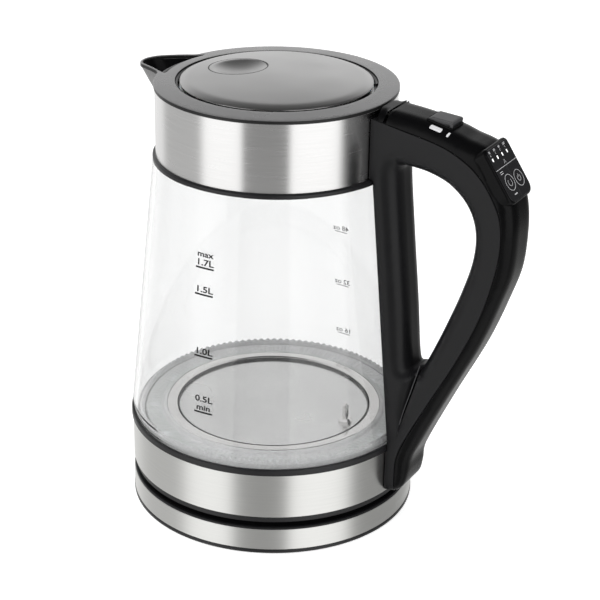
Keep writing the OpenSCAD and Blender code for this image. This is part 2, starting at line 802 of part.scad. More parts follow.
// The wedge's face lies along the button's motion as the moving latch sees it
wedge_w = 3;
wedge_z = 11;
latch_ratio = 1.2;
spring_z = 221;
wedge_angle = button_tilt + atan2(cos(button_tilt), sin(button_tilt) + latch_ratio);
wedge_rise = 2 * wedge_w * tan(wedge_angle);
module power_key() {
    color("black") panel_key(1);
}
module keep_warm_key() {
    color("black") panel_key(-1);
}
module lid_button() {
    color("dimgray") at_button() {
        plate_xz(-button_w / 2, button_w / 2) polygon([
            [-button_len / 2, -3], [-button_len / 2, 1], [-button_len / 2 + 0.8, 1.7],
            [button_len / 2 - 0.8, 3.3], [button_len / 2, 2.6], [button_len / 2, -3]
        ]);
        both_sides() box(-button_len / 2 - 1.2, button_len / 2 + 1.2, 4.4, button_w / 2 + 2.2, -4, -2.4);
        plate_xz(-2.2, 2.2) polygon([
            [-wedge_w, -2], [-wedge_w, -wedge_z], [wedge_w, -wedge_z + wedge_rise], [wedge_w, -2]
        ]);
    }
}
module button_spring() {
    color("silver") at_button() both_sides()
        translate([0, 6.6, -11.5]) coil(1.5, 0.35, 7.4);
}
module latch_slider() {
    ramp_gap = 0.3 / sin(wedge_angle - button_tilt);
    tip = [96.7, 233.2] + wedge_w * [-cos(button_tilt), sin(button_tilt)]
        - wedge_z * [sin(button_tilt), cos(button_tilt)];
    function ramp_x(z) = tip[0] + ramp_gap + (z - tip[1]) / tan(wedge_angle - button_tilt);
    color("whitesmoke") difference() {
        plate_xz(-4, 4) polygon([
            [50, latch_z], [66, latch_z], [66, 225.4], [84, 225.4], [84, 222.8], [100, 222.8],
            [100, spring_z - 2], [103, spring_z - 2], [103, 226], [87, 226], [87, 228.6],
            [71, 228.6], [71, 231.8], [50, 231.8]
        ]);
        plate_xz(-2.6, 2.6) polygon([
            [87.4, 220], [87.4, 230], [ramp_x(230), 230], [ramp_x(220), 220]
        ]);
    }
}
module latch_spring() {
    color("silver") translate([103.1, 0, spring_z]) rotate([0, 90, 0]) coil(1.7, 0.35, 7.4);
}

base_bottom_cover();
base_top_cover();
base_steel_band();
anti_slip_ring();
base_coupler();
base_contacts();
base_wires();
base_screws();
cord_gland();
jug_coupler();
jug_contacts();
jug_bottom_cover();
bottom_screws();
lower_band();
seat_ring();
lower_gasket();
glass_jug();
light_ring();
led_board();
led_lamps();
heating_plate();
plate_gasket();
plate_clamp();
heating_element();
element_terminals();
thermal_cutout();
temperature_probe();
probe_nut();
upper_gasket();
upper_collar();
collar_ring();
rim();
lid_well();
spout_filter();
filter_mesh();
hinge_pins();
lid_springs();
handle_inner_shell();
handle_outer_cover();
handle_cap();
handle_screws();
handle_wires();
control_board();
key_switches();
panel_frame();
panel_window();
panel_lamps();
button_spring();
latch_spring();
power_key();
keep_warm_key();
lid_button();
latch_slider();
lid_cover();
lid_inner_cover();
lid_gasket();
lid_screws();
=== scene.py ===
"""Looks of an electric kettle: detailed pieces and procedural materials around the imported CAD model.

Piece shapes are written in millimetres and turned into metres when the mesh is made.
"""

import json
import math

import bmesh
import bpy
import numpy as np
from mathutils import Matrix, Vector, geometry


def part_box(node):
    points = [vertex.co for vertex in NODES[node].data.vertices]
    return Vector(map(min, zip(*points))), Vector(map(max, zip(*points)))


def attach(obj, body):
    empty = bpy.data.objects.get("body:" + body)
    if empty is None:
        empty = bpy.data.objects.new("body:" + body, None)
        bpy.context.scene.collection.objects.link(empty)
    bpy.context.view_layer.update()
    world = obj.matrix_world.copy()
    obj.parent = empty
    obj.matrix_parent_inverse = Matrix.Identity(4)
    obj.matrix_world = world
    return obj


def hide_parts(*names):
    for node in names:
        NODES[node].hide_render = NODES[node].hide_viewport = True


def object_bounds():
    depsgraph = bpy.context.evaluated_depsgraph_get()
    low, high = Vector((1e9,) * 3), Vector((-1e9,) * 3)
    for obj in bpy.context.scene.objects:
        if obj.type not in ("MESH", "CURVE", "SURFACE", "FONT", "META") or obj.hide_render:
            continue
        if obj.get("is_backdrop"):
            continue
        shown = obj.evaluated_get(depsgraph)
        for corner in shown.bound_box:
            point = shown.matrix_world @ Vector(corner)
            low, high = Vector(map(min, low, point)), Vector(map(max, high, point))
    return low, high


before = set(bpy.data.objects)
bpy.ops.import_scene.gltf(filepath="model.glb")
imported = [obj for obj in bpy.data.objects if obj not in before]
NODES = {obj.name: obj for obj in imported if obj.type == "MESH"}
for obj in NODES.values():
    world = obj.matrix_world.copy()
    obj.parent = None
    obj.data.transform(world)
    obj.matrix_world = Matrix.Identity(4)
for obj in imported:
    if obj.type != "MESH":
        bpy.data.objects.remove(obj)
cad_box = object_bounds()
MM = 0.001


# ------------------------ camera, light, floor

# A short telephoto lens in front of the jug and above it, on the side of the volume marks
CAMERA_PLACE = (0.44731, -0.77476, 0.51880)
CAMERA_TURN = (1.1452, -0.0149, 0.5148)
CAMERA_LENS, CAMERA_SENSOR = 107.586, 36


def make_camera():
    camera = bpy.data.objects.new("camera", bpy.data.cameras.new("camera"))
    camera.data.sensor_width = CAMERA_SENSOR
    camera.data.lens = CAMERA_LENS
    camera.data.clip_end = 20
    camera.location = CAMERA_PLACE
    camera.rotation_euler = CAMERA_TURN
    bpy.context.scene.collection.objects.link(camera)
    bpy.context.scene.camera = camera


# What the steel reflects. Brightness of the studio by azimuth in degrees: two soft boxes with a
# dark gap between them, a grey left, a dark right and a white back
STUDIO = [
    (-180, 0.50), (-137, 0.50), (-129, 1.50), (-93, 1.50), (-90, 0.18), (-49, 0.18), (-46, 1.55),
    (0, 1.55), (6, 0.13), (58, 0.12), (72, 0.22), (86, 0.7), (100, 1.0), (165, 1.0), (175, 0.55),
    (180, 0.50),
]


# Brightness by height, from straight down at 0 to straight up at 1
RISE = [(0.0, 0.8), (0.5, 1.0), (0.66, 1.0), (0.71, 0.85), (0.78, 0.45), (0.86, 0.2), (1.0, 0.08)]
# How much of the pale table takes the studio's place, by the same height
TABLE = [(0.0, 0.6), (0.30, 0.55), (0.36, 0.0)]
TABLE_COLOUR = (0.74, 0.74, 0.73, 1)


def make_world():
    world = bpy.data.worlds.new("studio")
    bpy.context.scene.world = world
    world.use_nodes = True
    tree = world.node_tree
    new, link = tree.nodes.new, tree.links.new

    def to_unit(source, scale):
        """The source, scaled and centred on 0.5."""
        node = new("ShaderNodeMath")
        node.operation = "MULTIPLY_ADD"
        node.inputs[1].default_value = scale
        node.inputs[2].default_value = 0.5
        link(source, node.inputs[0])
        return node.outputs[0]

    def ramp(source, stops):
        node = new("ShaderNodeValToRGB")
        fill_ramp(node, [(position, (value,) * 3) for position, value in stops])
        link(source, node.inputs[0])
        return node.outputs[0]

    def blend(factor, first, second, blend_type="MIX"):
        """Colour mix of two outputs or constants. The factor is an output or a number."""
        node = new("ShaderNodeMix")
        node.data_type = "RGBA"
        node.blend_type = blend_type
        for socket, value in (("Factor", factor), ("A", first), ("B", second)):
            if isinstance(value, bpy.types.NodeSocket):
                link(value, node.inputs[socket])
            else:
                node.inputs[socket].default_value = value
        return node.outputs["Result"]

    coords = new("ShaderNodeTexCoord")
    axes = new("ShaderNodeSeparateXYZ")
    link(coords.outputs["Generated"], axes.inputs[0])
    azimuth = new("ShaderNodeMath")
    azimuth.operation = "ARCTAN2"
    link(axes.outputs["Y"], azimuth.inputs[0])
    link(axes.outputs["X"], azimuth.inputs[1])
    height = to_unit(axes.outputs["Z"], 0.5)
    sides = ramp(to_unit(azimuth.outputs[0], 0.5 / math.pi),
                 [((angle + 180) / 360, value) for angle, value in STUDIO])
    room = blend(1, sides, ramp(height, RISE), "MULTIPLY")
    room = blend(ramp(height, TABLE), room, TABLE_COLOUR)
    # White where the eye looks straight at it or through the glass
    path = new("ShaderNodeLightPath")
    seen = new("ShaderNodeMath")
    seen.operation = "MAXIMUM"
    link(path.outputs["Is Camera Ray"], seen.inputs[0])
    link(path.outputs["Is Transmission Ray"], seen.inputs[1])
    link(blend(seen.outputs[0], room, (1, 1, 1, 1)), tree.nodes["Background"].inputs["Color"])


def fill_ramp(node, stops):
    ramp = node.color_ramp
    while len(ramp.elements) > 1:
        ramp.elements.remove(ramp.elements[-1])
    for k, (position, colour) in enumerate(stops):
        element = ramp.elements[0] if k == 0 else ramp.elements.new(position)
        element.position = position
        element.color = (*colour[:3], 1)


# Half the floor's width and its gap under the base, in metres, and the glow that hides its shade
FLOOR_HALF, FLOOR_GAP, FLOOR_GLOW = 4, 0.0004, 0.62


def make_floor():
    mesh = bpy.data.meshes.new("floor")
    mesh.from_pydata([(-FLOOR_HALF, -FLOOR_HALF, 0), (FLOOR_HALF, -FLOOR_HALF, 0),
                      (FLOOR_HALF, FLOOR_HALF, 0), (-FLOOR_HALF, FLOOR_HALF, 0)], [], [(0, 1, 2, 3)])
    floor = bpy.data.objects.new("floor", mesh)
    floor.location.z = -FLOOR_GAP
    bpy.context.scene.collection.objects.link(floor)
    material = surface("floor_paper", (0.75, 0.75, 0.75), 0.9, spread=0.01, scale=(20, 20, 20))
    shader = material.node_tree.nodes["Principled BSDF"]
    shader.inputs["Emission Color"].default_value = (1, 1, 1, 1)
    shader.inputs["Emission Strength"].default_value = FLOOR_GLOW
    floor.data.materials.append(material)
    floor.visible_glossy = False
    floor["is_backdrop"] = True


def soft_light(name, place, target, size, power):
    light = bpy.data.lights.new(name, "AREA")
    light.shape = "RECTANGLE"
    light.size, light.size_y = size
    light.energy = power
    lamp = bpy.data.objects.new(name, light)
    lamp.location = place
    lamp.rotation_euler = (Vector(target) - Vector(place)).to_track_quat("-Z", "Y").to_euler()
    lamp.visible_glossy = False
    lamp.visible_camera = False
    lamp.visible_transmission = False
    bpy.context.scene.collection.objects.link(lamp)


# ------------------------ materials

def surface(name, colour, roughness, metallic=0.0, spread=0.08, scale=(60, 60, 60), grain=0.0,
            grain_scale=(3000, 3000, 3000), polar=False, rough_spread=0.12, **sockets):
    """Principled material: a coarse noise varies its colour and roughness, a fine one its bump.

    polar lays the noise out by angle and height, for brushing that runs round the jug.
    """
    material = bpy.data.materials.new(name)
    material.use_nodes = True
    tree = material.node_tree
    new, link = tree.nodes.new, tree.links.new
    shader = tree.nodes["Principled BSDF"]
    coords = new("ShaderNodeTexCoord")
    vector = coords.outputs["Object"]
    if polar:
        axes = new("ShaderNodeSeparateXYZ")
        link(vector, axes.inputs[0])
        angle = new("ShaderNodeMath")
        angle.operation = "ARCTAN2"
        link(axes.outputs["Y"], angle.inputs[0])
        link(axes.outputs["X"], angle.inputs[1])
        joined = new("ShaderNodeCombineXYZ")
        link(angle.outputs[0], joined.inputs["X"])
        link(axes.outputs["Z"], joined.inputs["Z"])
        vector = joined.outputs[0]

    def noise(scales, detail):
        stretch = new("ShaderNodeMapping")
        stretch.inputs["Scale"].default_value = scales
        link(vector, stretch.inputs["Vector"])
        texture = new("ShaderNodeTexNoise")
        texture.inputs["Scale"].default_value = 1
        texture.inputs["Detail"].default_value = detail
        link(stretch.outputs[0], texture.inputs["Vector"])
        return texture.outputs["Fac"]

    coarse = noise(scale, 3)
    tint = new("ShaderNodeValToRGB")
    low, high = (tuple(min(1, c * (1 + s * spread)) for c in colour) for s in (-1, 1))
    fill_ramp(tint, [(0.3, low), (0.7, high)])
    link(coarse, tint.inputs[0])
    link(tint.outputs[0], shader.inputs["Base Color"])
    rough = new("ShaderNodeMapRange")
    rough.inputs["From Min"].default_value = 0.3
    rough.inputs["From Max"].default_value = 0.7
    rough.inputs["To Min"].default_value = roughness * (1 - rough_spread)
    rough.inputs["To Max"].default_value = min(1, roughness * (1 + rough_spread))
    link(coarse, rough.inputs["Value"])
    link(rough.outputs[0], shader.inputs["Roughness"])
    shader.inputs["Metallic"].default_value = metallic
    if grain:
        bump = new("ShaderNodeBump")
        bump.inputs["Strength"].default_value = grain
        bump.inputs["Distance"].default_value = 0.00005
        link(noise(grain_scale, 2), bump.inputs["Height"])
        link(bump.outputs[0], shader.inputs["Normal"])
    if sockets.get("Anisotropic"):
        tangent = new("ShaderNodeTangent")
        tangent.direction_type = "RADIAL"
        tangent.axis = "Z"
        link(tangent.outputs[0], shader.inputs["Tangent"])
    for socket, value in sockets.items():
        shader.inputs[socket.replace("_", " ")].default_value = value
    material.diffuse_color = (*colour, 1)
    return material


def clear_to_shadows(material):
    """Lets light through to what is inside: shadow rays pass the material."""
    tree = material.node_tree
    new, link = tree.nodes.new, tree.links.new
    shader = tree.nodes["Principled BSDF"]
    output = tree.nodes["Material Output"]
    path = new("ShaderNodeLightPath")
    through = new("ShaderNodeBsdfTransparent")
    through.inputs["Color"].default_value = (0.96, 0.96, 0.96, 1)
    mix = new("ShaderNodeMixShader")
    link(path.outputs["Is Shadow Ray"], mix.inputs["Fac"])
    link(shader.outputs[0], mix.inputs[1])
    link(through.outputs[0], mix.inputs[2])
    link(mix.outputs[0], output.inputs["Surface"])
    return material


# Stretch of the brushed steel's grain: long round the jug, short along its height
RING_GRAIN = (14, 1, 2600)
M = {
    "black_plastic": surface("black_plastic", (0.008, 0.008, 0.0088), 0.36, grain=0.12,
                             Specular_IOR_Level=0.4),
    "handle_plastic": surface("handle_plastic", (0.006, 0.006, 0.0066), 0.34, grain=0.08,
                              Specular_IOR_Level=0.22),
    "cover_plastic": surface("cover_plastic", (0.0018, 0.0018, 0.002), 0.26, grain=0.03,
                             Specular_IOR_Level=0.11),
    "grey_rim": surface("grey_rim", (0.12, 0.119, 0.12), 0.28, metallic=0.3, spread=0.05,
                        grain=0.06, Specular_IOR_Level=1.0),
    # Dark paint standing for shade: the rim plate's side faces, the gap under the rim and the ring
    # inside it under the lid
    "rim_side": surface("rim_side", (0.01, 0.01, 0.01), 0.34, grain=0.05, Specular_IOR_Level=0.25),
    "collar_steel": surface("collar_steel", (0.79, 0.785, 0.78), 0.25, metallic=1, spread=0.03,
                            scale=(2.2, 1, 900), grain=0.10, grain_scale=RING_GRAIN, polar=True,
                            Anisotropic=0.85, Anisotropic_Rotation=0.25),
    "band_steel": surface("band_steel", (0.80, 0.80, 0.78), 0.36, metallic=1, spread=0.03,
                          scale=(2.2, 1, 900), grain=0.10, grain_scale=RING_GRAIN, polar=True,
                          Anisotropic=0.85, Anisotropic_Rotation=0.25),
    "lid_steel": surface("lid_steel", (0.50, 0.497, 0.495), 0.34, metallic=1, spread=0.03,
                         scale=(25, 25, 25), grain=0.05),
    # Dark paint standing for the shade in grooves: round the lid's finger dish, in the light ring and
    # at the heating plate's edge
    "dish_line": surface("dish_line", (0.03, 0.03, 0.03), 0.5),
    "polished_steel": surface("polished_steel", (0.80, 0.79, 0.78), 0.17, metallic=1, spread=0.03,
                              scale=(30, 30, 30)),
    "plate_steel": surface("plate_steel", (0.76, 0.76, 0.755), 0.26, metallic=1, spread=0.05,
                           scale=(22, 22, 22), grain=0.01, Anisotropic=0.6),
    "silicone": surface("silicone", (0.72, 0.72, 0.70), 0.5, Subsurface_Weight=0.1),
    "rubber": surface("rubber", (0.03, 0.03, 0.03), 0.8, grain=0.3),
    "gloss_black": surface("gloss_black", (0.006, 0.006, 0.007), 0.09, spread=0.05,
                           Specular_IOR_Level=0.5),
    "button_plastic": surface("button_plastic", (0.036, 0.036, 0.038), 0.42, grain=0.12),
    "white_plastic": surface("white_plastic", (0.80, 0.79, 0.75), 0.45, grain=0.08),
    "brass": surface("brass", (0.75, 0.58, 0.26), 0.3, metallic=1),
    "board": surface("board", (0.02, 0.16, 0.06), 0.45, grain=0.1, scale=(300, 300, 300), spread=0.3),
    "lamp": surface("lamp", (0.85, 0.9, 0.95), 0.2, Emission_Color=(0.9, 0.95, 1, 1),
                    Emission_Strength=0.4),
    "element": surface("element", (0.45, 0.44, 0.43), 0.5, metallic=0.9, grain=0.2, spread=0.15),
    "wire": surface("wire", (0.35, 0.03, 0.02), 0.45),
    "screw_steel": surface("screw_steel", (0.55, 0.55, 0.56), 0.3, metallic=1),
    "print_black": surface("print_black", (0.01, 0.01, 0.01), 0.6, Specular_IOR_Level=0.2),
    "print_grey": surface("print_grey", (0.16, 0.16, 0.16), 0.6, Specular_IOR_Level=0.2),
    # White print with a faint painted glow from its emission
    "print_white": surface("print_white", (0.45, 0.45, 0.46), 0.5, Emission_Color=(1, 1, 1, 1),
                           Emission_Strength=0.04),
    "lit_white": surface("lit_white", (0.9, 0.9, 0.9), 0.4, Emission_Color=(1, 1, 1, 1),
                         Emission_Strength=0.5),
    "glass": clear_to_shadows(surface("glass", (0.835, 0.837, 0.837), 0.0, spread=0.02,
                                      scale=(1.6, 1, 5), polar=True, rough_spread=0,
                                      Transmission_Weight=1.0, IOR=1.46)),
    "light_ring": clear_to_shadows(surface("light_ring", (0.86, 0.86, 0.865), 0.24, spread=0.10,
                                           scale=(700, 700, 700), grain=0.8,
                                           grain_scale=(900, 900, 900),
                                           Transmission_Weight=0.65, IOR=1.46)),
}


# ------------------------ meshes

def mesh_piece(name, points, faces, materials, body, slot, nodes=(), index=None, sharp=34):
    """Object from points in mm, riding on a CAD body and standing for some CAD nodes."""
    mesh = bpy.data.meshes.new(name)
    mesh.from_pydata([tuple(c * MM for c in p) for p in points], [], faces)
    for material in materials if isinstance(materials, (list, tuple)) else [materials]:
        mesh.materials.append(M[material])
    if index is not None:
        mesh.polygons.foreach_set("material_index", np.asarray(index, np.int32))
    shape = bmesh.new()
    shape.from_mesh(mesh)
    bmesh.ops.remove_doubles(shape, verts=shape.verts, dist=1e-6)
    bmesh.ops.dissolve_degenerate(shape, edges=shape.edges, dist=1e-7)
    bmesh.ops.recalc_face_normals(shape, faces=shape.faces)
    shape.to_mesh(mesh)
    shape.free()
    mesh.shade_smooth()
    mesh.set_sharp_from_angle(angle=math.radians(sharp))
    piece = bpy.data.objects.new(name, mesh)
    bpy.context.scene.collection.objects.link(piece)
    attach(piece, body)
    if nodes:
        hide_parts(*nodes)
    return piece


def fillet(points, radius, steps=5):
    """Closed polygon with its corners rounded. radius is one number or one for each corner."""
    out = []
    n = len(points)
    for i in range(n):
        r = radius[i] if isinstance(radius, (list, tuple)) else radius
        p, a, b = (Vector(points[k]) for k in (i, i - 1, (i + 1) % n))
        u, v = (a - p).normalized(), (b - p).normalized()
        turn = u.angle(v)
        if r <= 0 or turn > 3.05:
            out.append(tuple(p))
            continue
        reach = min(r / math.tan(turn / 2), 0.48 * (a - p).length, 0.48 * (b - p).length)
        r = reach * math.tan(turn / 2)
        centre = p + (u + v).normalized() * (r / math.sin(turn / 2))
        start, end = p + u * reach - centre, p + v * reach - centre
        a0 = math.atan2(start.y, start.x)
        sweep = math.remainder(math.atan2(end.y, end.x) - a0, 2 * math.pi)
        out += [(centre.x + r * math.cos(a0 + sweep * k / steps),
                 centre.y + r * math.sin(a0 + sweep * k / steps)) for k in range(steps + 1)]
    return out


def lathe(profile, segments=240, wave=None, gap=0):
    """Closed solid of revolution about Z, from a closed (radius, height) profile.

    gap is the half-angle in degrees that is left open about +X.
    """
    n = len(profile)
    points, faces = [], []
    for k in range(segments + 1 if gap else segments):
        a = math.radians(gap + (360 - 2 * gap) * k / segments)
        for i, (r, z) in enumerate(profile):
            if wave:
                r, z = wave(r, z, a)
            points.append((r * math.cos(a), r * math.sin(a), z))
    for k in range(segments):
        j = k + 1 if gap else (k + 1) % segments
        faces += [(k * n + i, k * n + (i + 1) % n, j * n + (i + 1) % n, j * n + i) for i in range(n)]
    if gap:
        faces += [tuple(range(n)), tuple(segments * n + i for i in reversed(range(n)))]
    return points, faces


def even_odd(points, loops):
    inside = np.zeros(len(points), bool)
    x, y = points[:, :1], points[:, 1:2]
    for loop in loops:
        a, b = loop[:, :2], np.roll(loop[:, :2], -1, 0)
        span = (a[:, 1] > y) != (b[:, 1] > y)
        slope = (b[:, 0] - a[:, 0]) / np.where(b[:, 1] == a[:, 1], 1, b[:, 1] - a[:, 1])
        inside ^= (span & (x < a[:, 0] + (y - a[:, 1]) * slope)).sum(1) % 2 == 1
    return inside


def edge_reach(points, loops):
    """Distance from each point to each edge of the loops, and the edges' values at that place."""
    distances, values = [], []
    for loop in loops:
        a, b = loop, np.roll(loop, -1, 0)
        d = b[:, :2] - a[:, :2]
        t = ((points[:, None, :] - a[:, :2]) * d).sum(2) / (d * d).sum(1)
        t = np.clip(t, 0, 1)[..., None]
        distances.append(np.linalg.norm(points[:, None, :] - a[:, :2] - t * d, axis=2))
        values.append(a[:, 2:] + t * (b - a)[:, 2:])
    return np.concatenate(distances, 1), np.concatenate(values, 1)


def turned(loop, left):
    """The loop, turned so that the region lies on its left if left is true."""
    area = (loop[:, 0] * np.roll(loop[:, 1], -1) - loop[:, 1] * np.roll(loop[:, 0], -1)).sum()
    return loop if (area > 0) == left else loop[::-1].copy()


def resampled(loop, pitch):
    """Closed loop of (u, v, values...) with its long edges divided."""
    out = []
    for p, q in zip(loop, np.roll(loop, -1, 0)):
        length = np.linalg.norm((q - p)[:2])
        if length < 1e-6:
            continue
        n = max(1, math.ceil(length / pitch))
        out += [p + (q - p) * k / n for k in range(n)]
    return np.array(out)


def flat_region(loops, offsets, pitch, extra=()):
    """Triangles that fill a flat region: an outline and its holes, rings inside them, and a grid."""
    rings = []
    for loop in loops:
        step = np.roll(loop, -1, 0)[:, :2] - np.roll(loop, 1, 0)[:, :2]
        inward = np.stack([-step[:, 1], step[:, 0]], 1)
        inward /= np.linalg.norm(inward, axis=1)[:, None]
        for share in offsets:
            ring = loop[:, :2] + inward * loop[:, 2:3] * share
            near = edge_reach(ring, loops)[0].min(1)
            rings.append(ring[even_odd(ring, loops) & (near > 0.93 * loop[:, 2] * share)])
    low = np.min([l[:, :2].min(0) for l in loops], 0)
    high = np.max([l[:, :2].max(0) for l in loops], 0)
    rows = np.arange(low[1], high[1], pitch * 0.866)
    grid = np.array([(u + (k % 2) * pitch / 2, v) for k, v in enumerate(rows)
                     for u in np.arange(low[0], high[0], pitch)])
    grid = grid[even_odd(grid, loops)]
    outline = np.concatenate([l[:, :2] for l in loops])
    edges, start = [], 0
    for loop in loops:
        n = len(loop)
        edges += [(start + k, start + (k + 1) % n) for k in range(n)]
        start += n
    fixed = np.concatenate([outline, *rings, *[np.asarray(e) for e in extra if len(e)]])
    if len(grid):
        gap = np.min([np.linalg.norm(grid - p, axis=1) for p in fixed], 0)
        grid = grid[gap > 0.55 * pitch]
    everything = np.concatenate([fixed, grid])
    verts, _, faces, *_ = geometry.delaunay_2d_cdt(
        [Vector(p) for p in everything.tolist()], edges, [], 0, 1e-5)
    verts = np.array([tuple(v) for v in verts])
    centres = np.array([verts[list(f)].mean(0) for f in faces])
    keep = even_odd(centres, loops)
    return verts, [tuple(f) for f, k in zip(faces, keep) if k]


def closed_sheet(verts, faces, top, bottom, place, steps=2, bow=None):
    """Closed solid between two heights over a flat region. place maps (u, v, height) to space."""
    n = len(verts)
    points = [place(u, v, h) for (u, v), h in zip(verts, top)]
    points += [place(u, v, h) for (u, v), h in zip(verts, bottom)]
    out = list(faces) + [tuple(n + i for i in reversed(f)) for f in faces]
    count = {}
    for f in faces:
        for a, b in zip(f, f[1:] + f[:1]):
            count[(a, b)] = count.get((a, b), 0) + 1
    rim = [(a, b) for a, b in count if (b, a) not in count]
    columns = {}
    for a in {i for e in rim for i in e}:
        u, v = verts[a]
        column = [a]
        for k in range(1, steps):
            h = top[a] + (bottom[a] - top[a]) * k / steps
            column.append(len(points))
            points.append(place(bow(u, v, h) if bow else u, v, h))
        columns[a] = column + [n + a]
    for a, b in rim:
        ca, cb = columns[a], columns[b]
        out += [(ca[k], ca[k + 1], cb[k + 1], cb[k]) for k in range(steps)]
    return points, out


QUARTER = [1 - math.cos(math.radians(a)) for a in (15, 30, 45, 60, 75, 90)]


def drop(distances, values):
    """How far an edge rounded by (reach, depth) lies below the flat, at a distance from it."""
    share = np.clip(1 - distances / np.maximum(values[..., 0], 1e-6), 0, 1)
    return (values[..., 1] * (1 - np.sqrt(np.clip(1 - share ** 2, 0, 1)))).max(1)


class Slab:
    """Solid of one half-thickness over a flat region, with each edge rounded by its own ellipse."""

    def __init__(self, loops, half, pitch=2.4, step=1.7, sink=None, extra=()):
        self.loops = [turned(resampled(np.asarray(l, float), step), k == 0)
                      for k, l in enumerate(loops)]
        self.half, self.sink = half, sink
        self.verts, self.faces = flat_region(self.loops, QUARTER, pitch, extra)

    def height(self, points):
        low = drop(*edge_reach(np.asarray(points, float), self.loops))
        if self.sink:
            low = np.maximum(low, self.sink(points))
        return np.maximum(self.half - low, 0.05)

    def solid(self, place, steps=2, bow=None):
        h = self.height(self.verts)
        return closed_sheet(self.verts, self.faces, h, -h, place, steps, bow)


def with_radii(points, rx, ry):
    return np.array([(p[0], p[1], rx, ry) for p in points])


def on_side(u, v, w):
    return (u, w, v)


def spline(points, steps=12):
    p = np.array(points, float)
    out = []
    for i in range(len(p) - 1):
        a, b, c, d = p[max(i - 1, 0)], p[i], p[i + 1], p[min(i + 2, len(p) - 1)]
        for k in range(steps):
            t = k / steps
            out.append(0.5 * (2 * b + (c - a) * t + (2 * a - 5 * b + 4 * c - d) * t * t
                              + (3 * b - a - 3 * c + d) * t ** 3))
    return np.array(out + [p[-1]])


def shifted(line, d):
    step = np.gradient(line, axis=0)
    step /= np.linalg.norm(step, axis=1)[:, None]
    return line + d * np.stack([step[:, 1], -step[:, 0]], 1)


def smooth(a, b, t):
    t = np.clip((t - a) / (b - a), 0, 1)
    return t * t * (3 - 2 * t)


def text_shape(text, size, bold=0.0, depth=0.05, align="CENTER"):
    """Points and faces of a flat line of text, in the units of size, about the origin."""
    curve = bpy.data.curves.new("text", "FONT")
    curve.body, curve.size, curve.align_x = text, size, align
    curve.extrude, curve.offset, curve.resolution_u = depth, bold, 4
    holder = bpy.data.objects.new("text", curve)
    bpy.context.scene.collection.objects.link(holder)
    mesh = bpy.data.meshes.new_from_object(
        holder.evaluated_get(bpy.context.evaluated_depsgraph_get()))
    points = [tuple(v.co) for v in mesh.vertices]
    faces = [tuple(f.vertices) for f in mesh.polygons]
    bpy.data.objects.remove(holder)
    bpy.data.curves.remove(curve)
    bpy.data.meshes.remove(mesh)
    return points, faces


def bar_shape(u0, u1, v0, v1, depth=0.05, columns=10):
    """A thin flat bar as a grid of columns, so that it can be bent."""
    points, faces = [], []
    for k in range(columns + 1):
        u = u0 + (u1 - u0) * k / columns
        points += [(u, v0, -depth), (u, v1, -depth), (u, v1, depth), (u, v0, depth)]
    for k in range(columns):
        a, b = 4 * k, 4 * k + 4
        faces += [(a + i, a + (i + 1) % 4, b + (i + 1) % 4, b + i) for i in range(4)]
    return points, faces + [(0, 1, 2, 3), tuple(4 * columns + i for i in (3, 2, 1, 0))]


def ring_shape(r0, r1, a0=0, a1=360, depth=0.05, columns=48, centre=(0, 0)):
    points, faces = bar_shape(0, 1, 0, 1, depth, columns)
    out = []
    for u, v, w in points:
        a = math.radians(a0 + (a1 - a0) * u)
        r = r0 + (r1 - r0) * v
        out.append((centre[0] + r * math.cos(a), centre[1] + r * math.sin(a), w))
    return out, faces


def joined(*shapes):
    points, faces = [], []
    for p, f in shapes:
        start = len(points)
        points += list(p)
        faces += [tuple(start + i for i in g) for g in f]
    return points, faces


def moved(shape, u=0.0, v=0.0, turn=0.0):
    c, s = math.cos(math.radians(turn)), math.sin(math.radians(turn))
    return [(c * x - s * y + u, s * x + c * y + v, w) for x, y, w in shape[0]], shape[1]


# ------------------------ jug: rim, spout, rings

# Rim's top plate: height of its top, outer and inner radius, thickness
RIM_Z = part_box("lid_well")[1].z / MM + 1.7
RIM_R, RIM_IN, RIM_T = 64.0, 52.8, 2.3
# Spout from above: a wedge with a round tip. Its reach, lip, tip radius, half-angle and tip centre
SPOUT_TIP = -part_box("rim")[0].x / MM - 1.4
LIP = 1.8
TIP_R, WEDGE = 9.2, math.radians(29)
TIP_X = SPOUT_TIP - LIP - TIP_R
# Radius at which the well under the rim begins, where the spout's mouth ends
WELL_R = 59.3
# The rim's top falls outward as a cone. Past DROOP_R the spout's lip droops: DROOP over DROOP_RUN
CONE_FALL, DROOP, DROOP_R, DROOP_RUN = 0.85, 0.9, 66, 14


def wedge_reach(phi, grow):
    """Distance from the axis to the outline of the spout's wedge, at an angle from -X."""
    phi = abs(phi)
    r = TIP_R + grow
    corner = math.atan2(r * math.cos(WEDGE), TIP_X + r * math.sin(WEDGE))
    if phi <= corner:
        s = TIP_X * math.sin(phi)
        return TIP_X * math.cos(phi) + math.sqrt(max(r * r - s * s, 0))
    side = TIP_X * math.sin(WEDGE) + r
    return side / math.sin(WEDGE + phi) if WEDGE + phi < math.pi else 0.0


def rim_reach(phi):
    """Outline of the rim's top: its circle and the spout, blended where they meet."""
    wedge = wedge_reach(phi, LIP) if abs(phi) < 1.0 else 0.0
    blend = 2.2
    share = max(blend - abs(RIM_R - wedge), 0) / blend
    return max(RIM_R, wedge) + share * share * blend / 4


def rim_fall(r):
    """How far the rim's top lies below its inner edge: a slight cone, then the drooping lip."""
    cone = CONE_FALL * min(max(r - RIM_IN, 0) / (RIM_R - RIM_IN), 1)
    return cone + DROOP * (max(r - DROOP_R, 0) / DROOP_RUN) ** 1.5


def polar(r, phi):
    return (-r * math.cos(phi), -r * math.sin(phi))


def spread_angles(limit, n):
    return [limit * (2 * k / n - 1) for k in range(n + 1)]


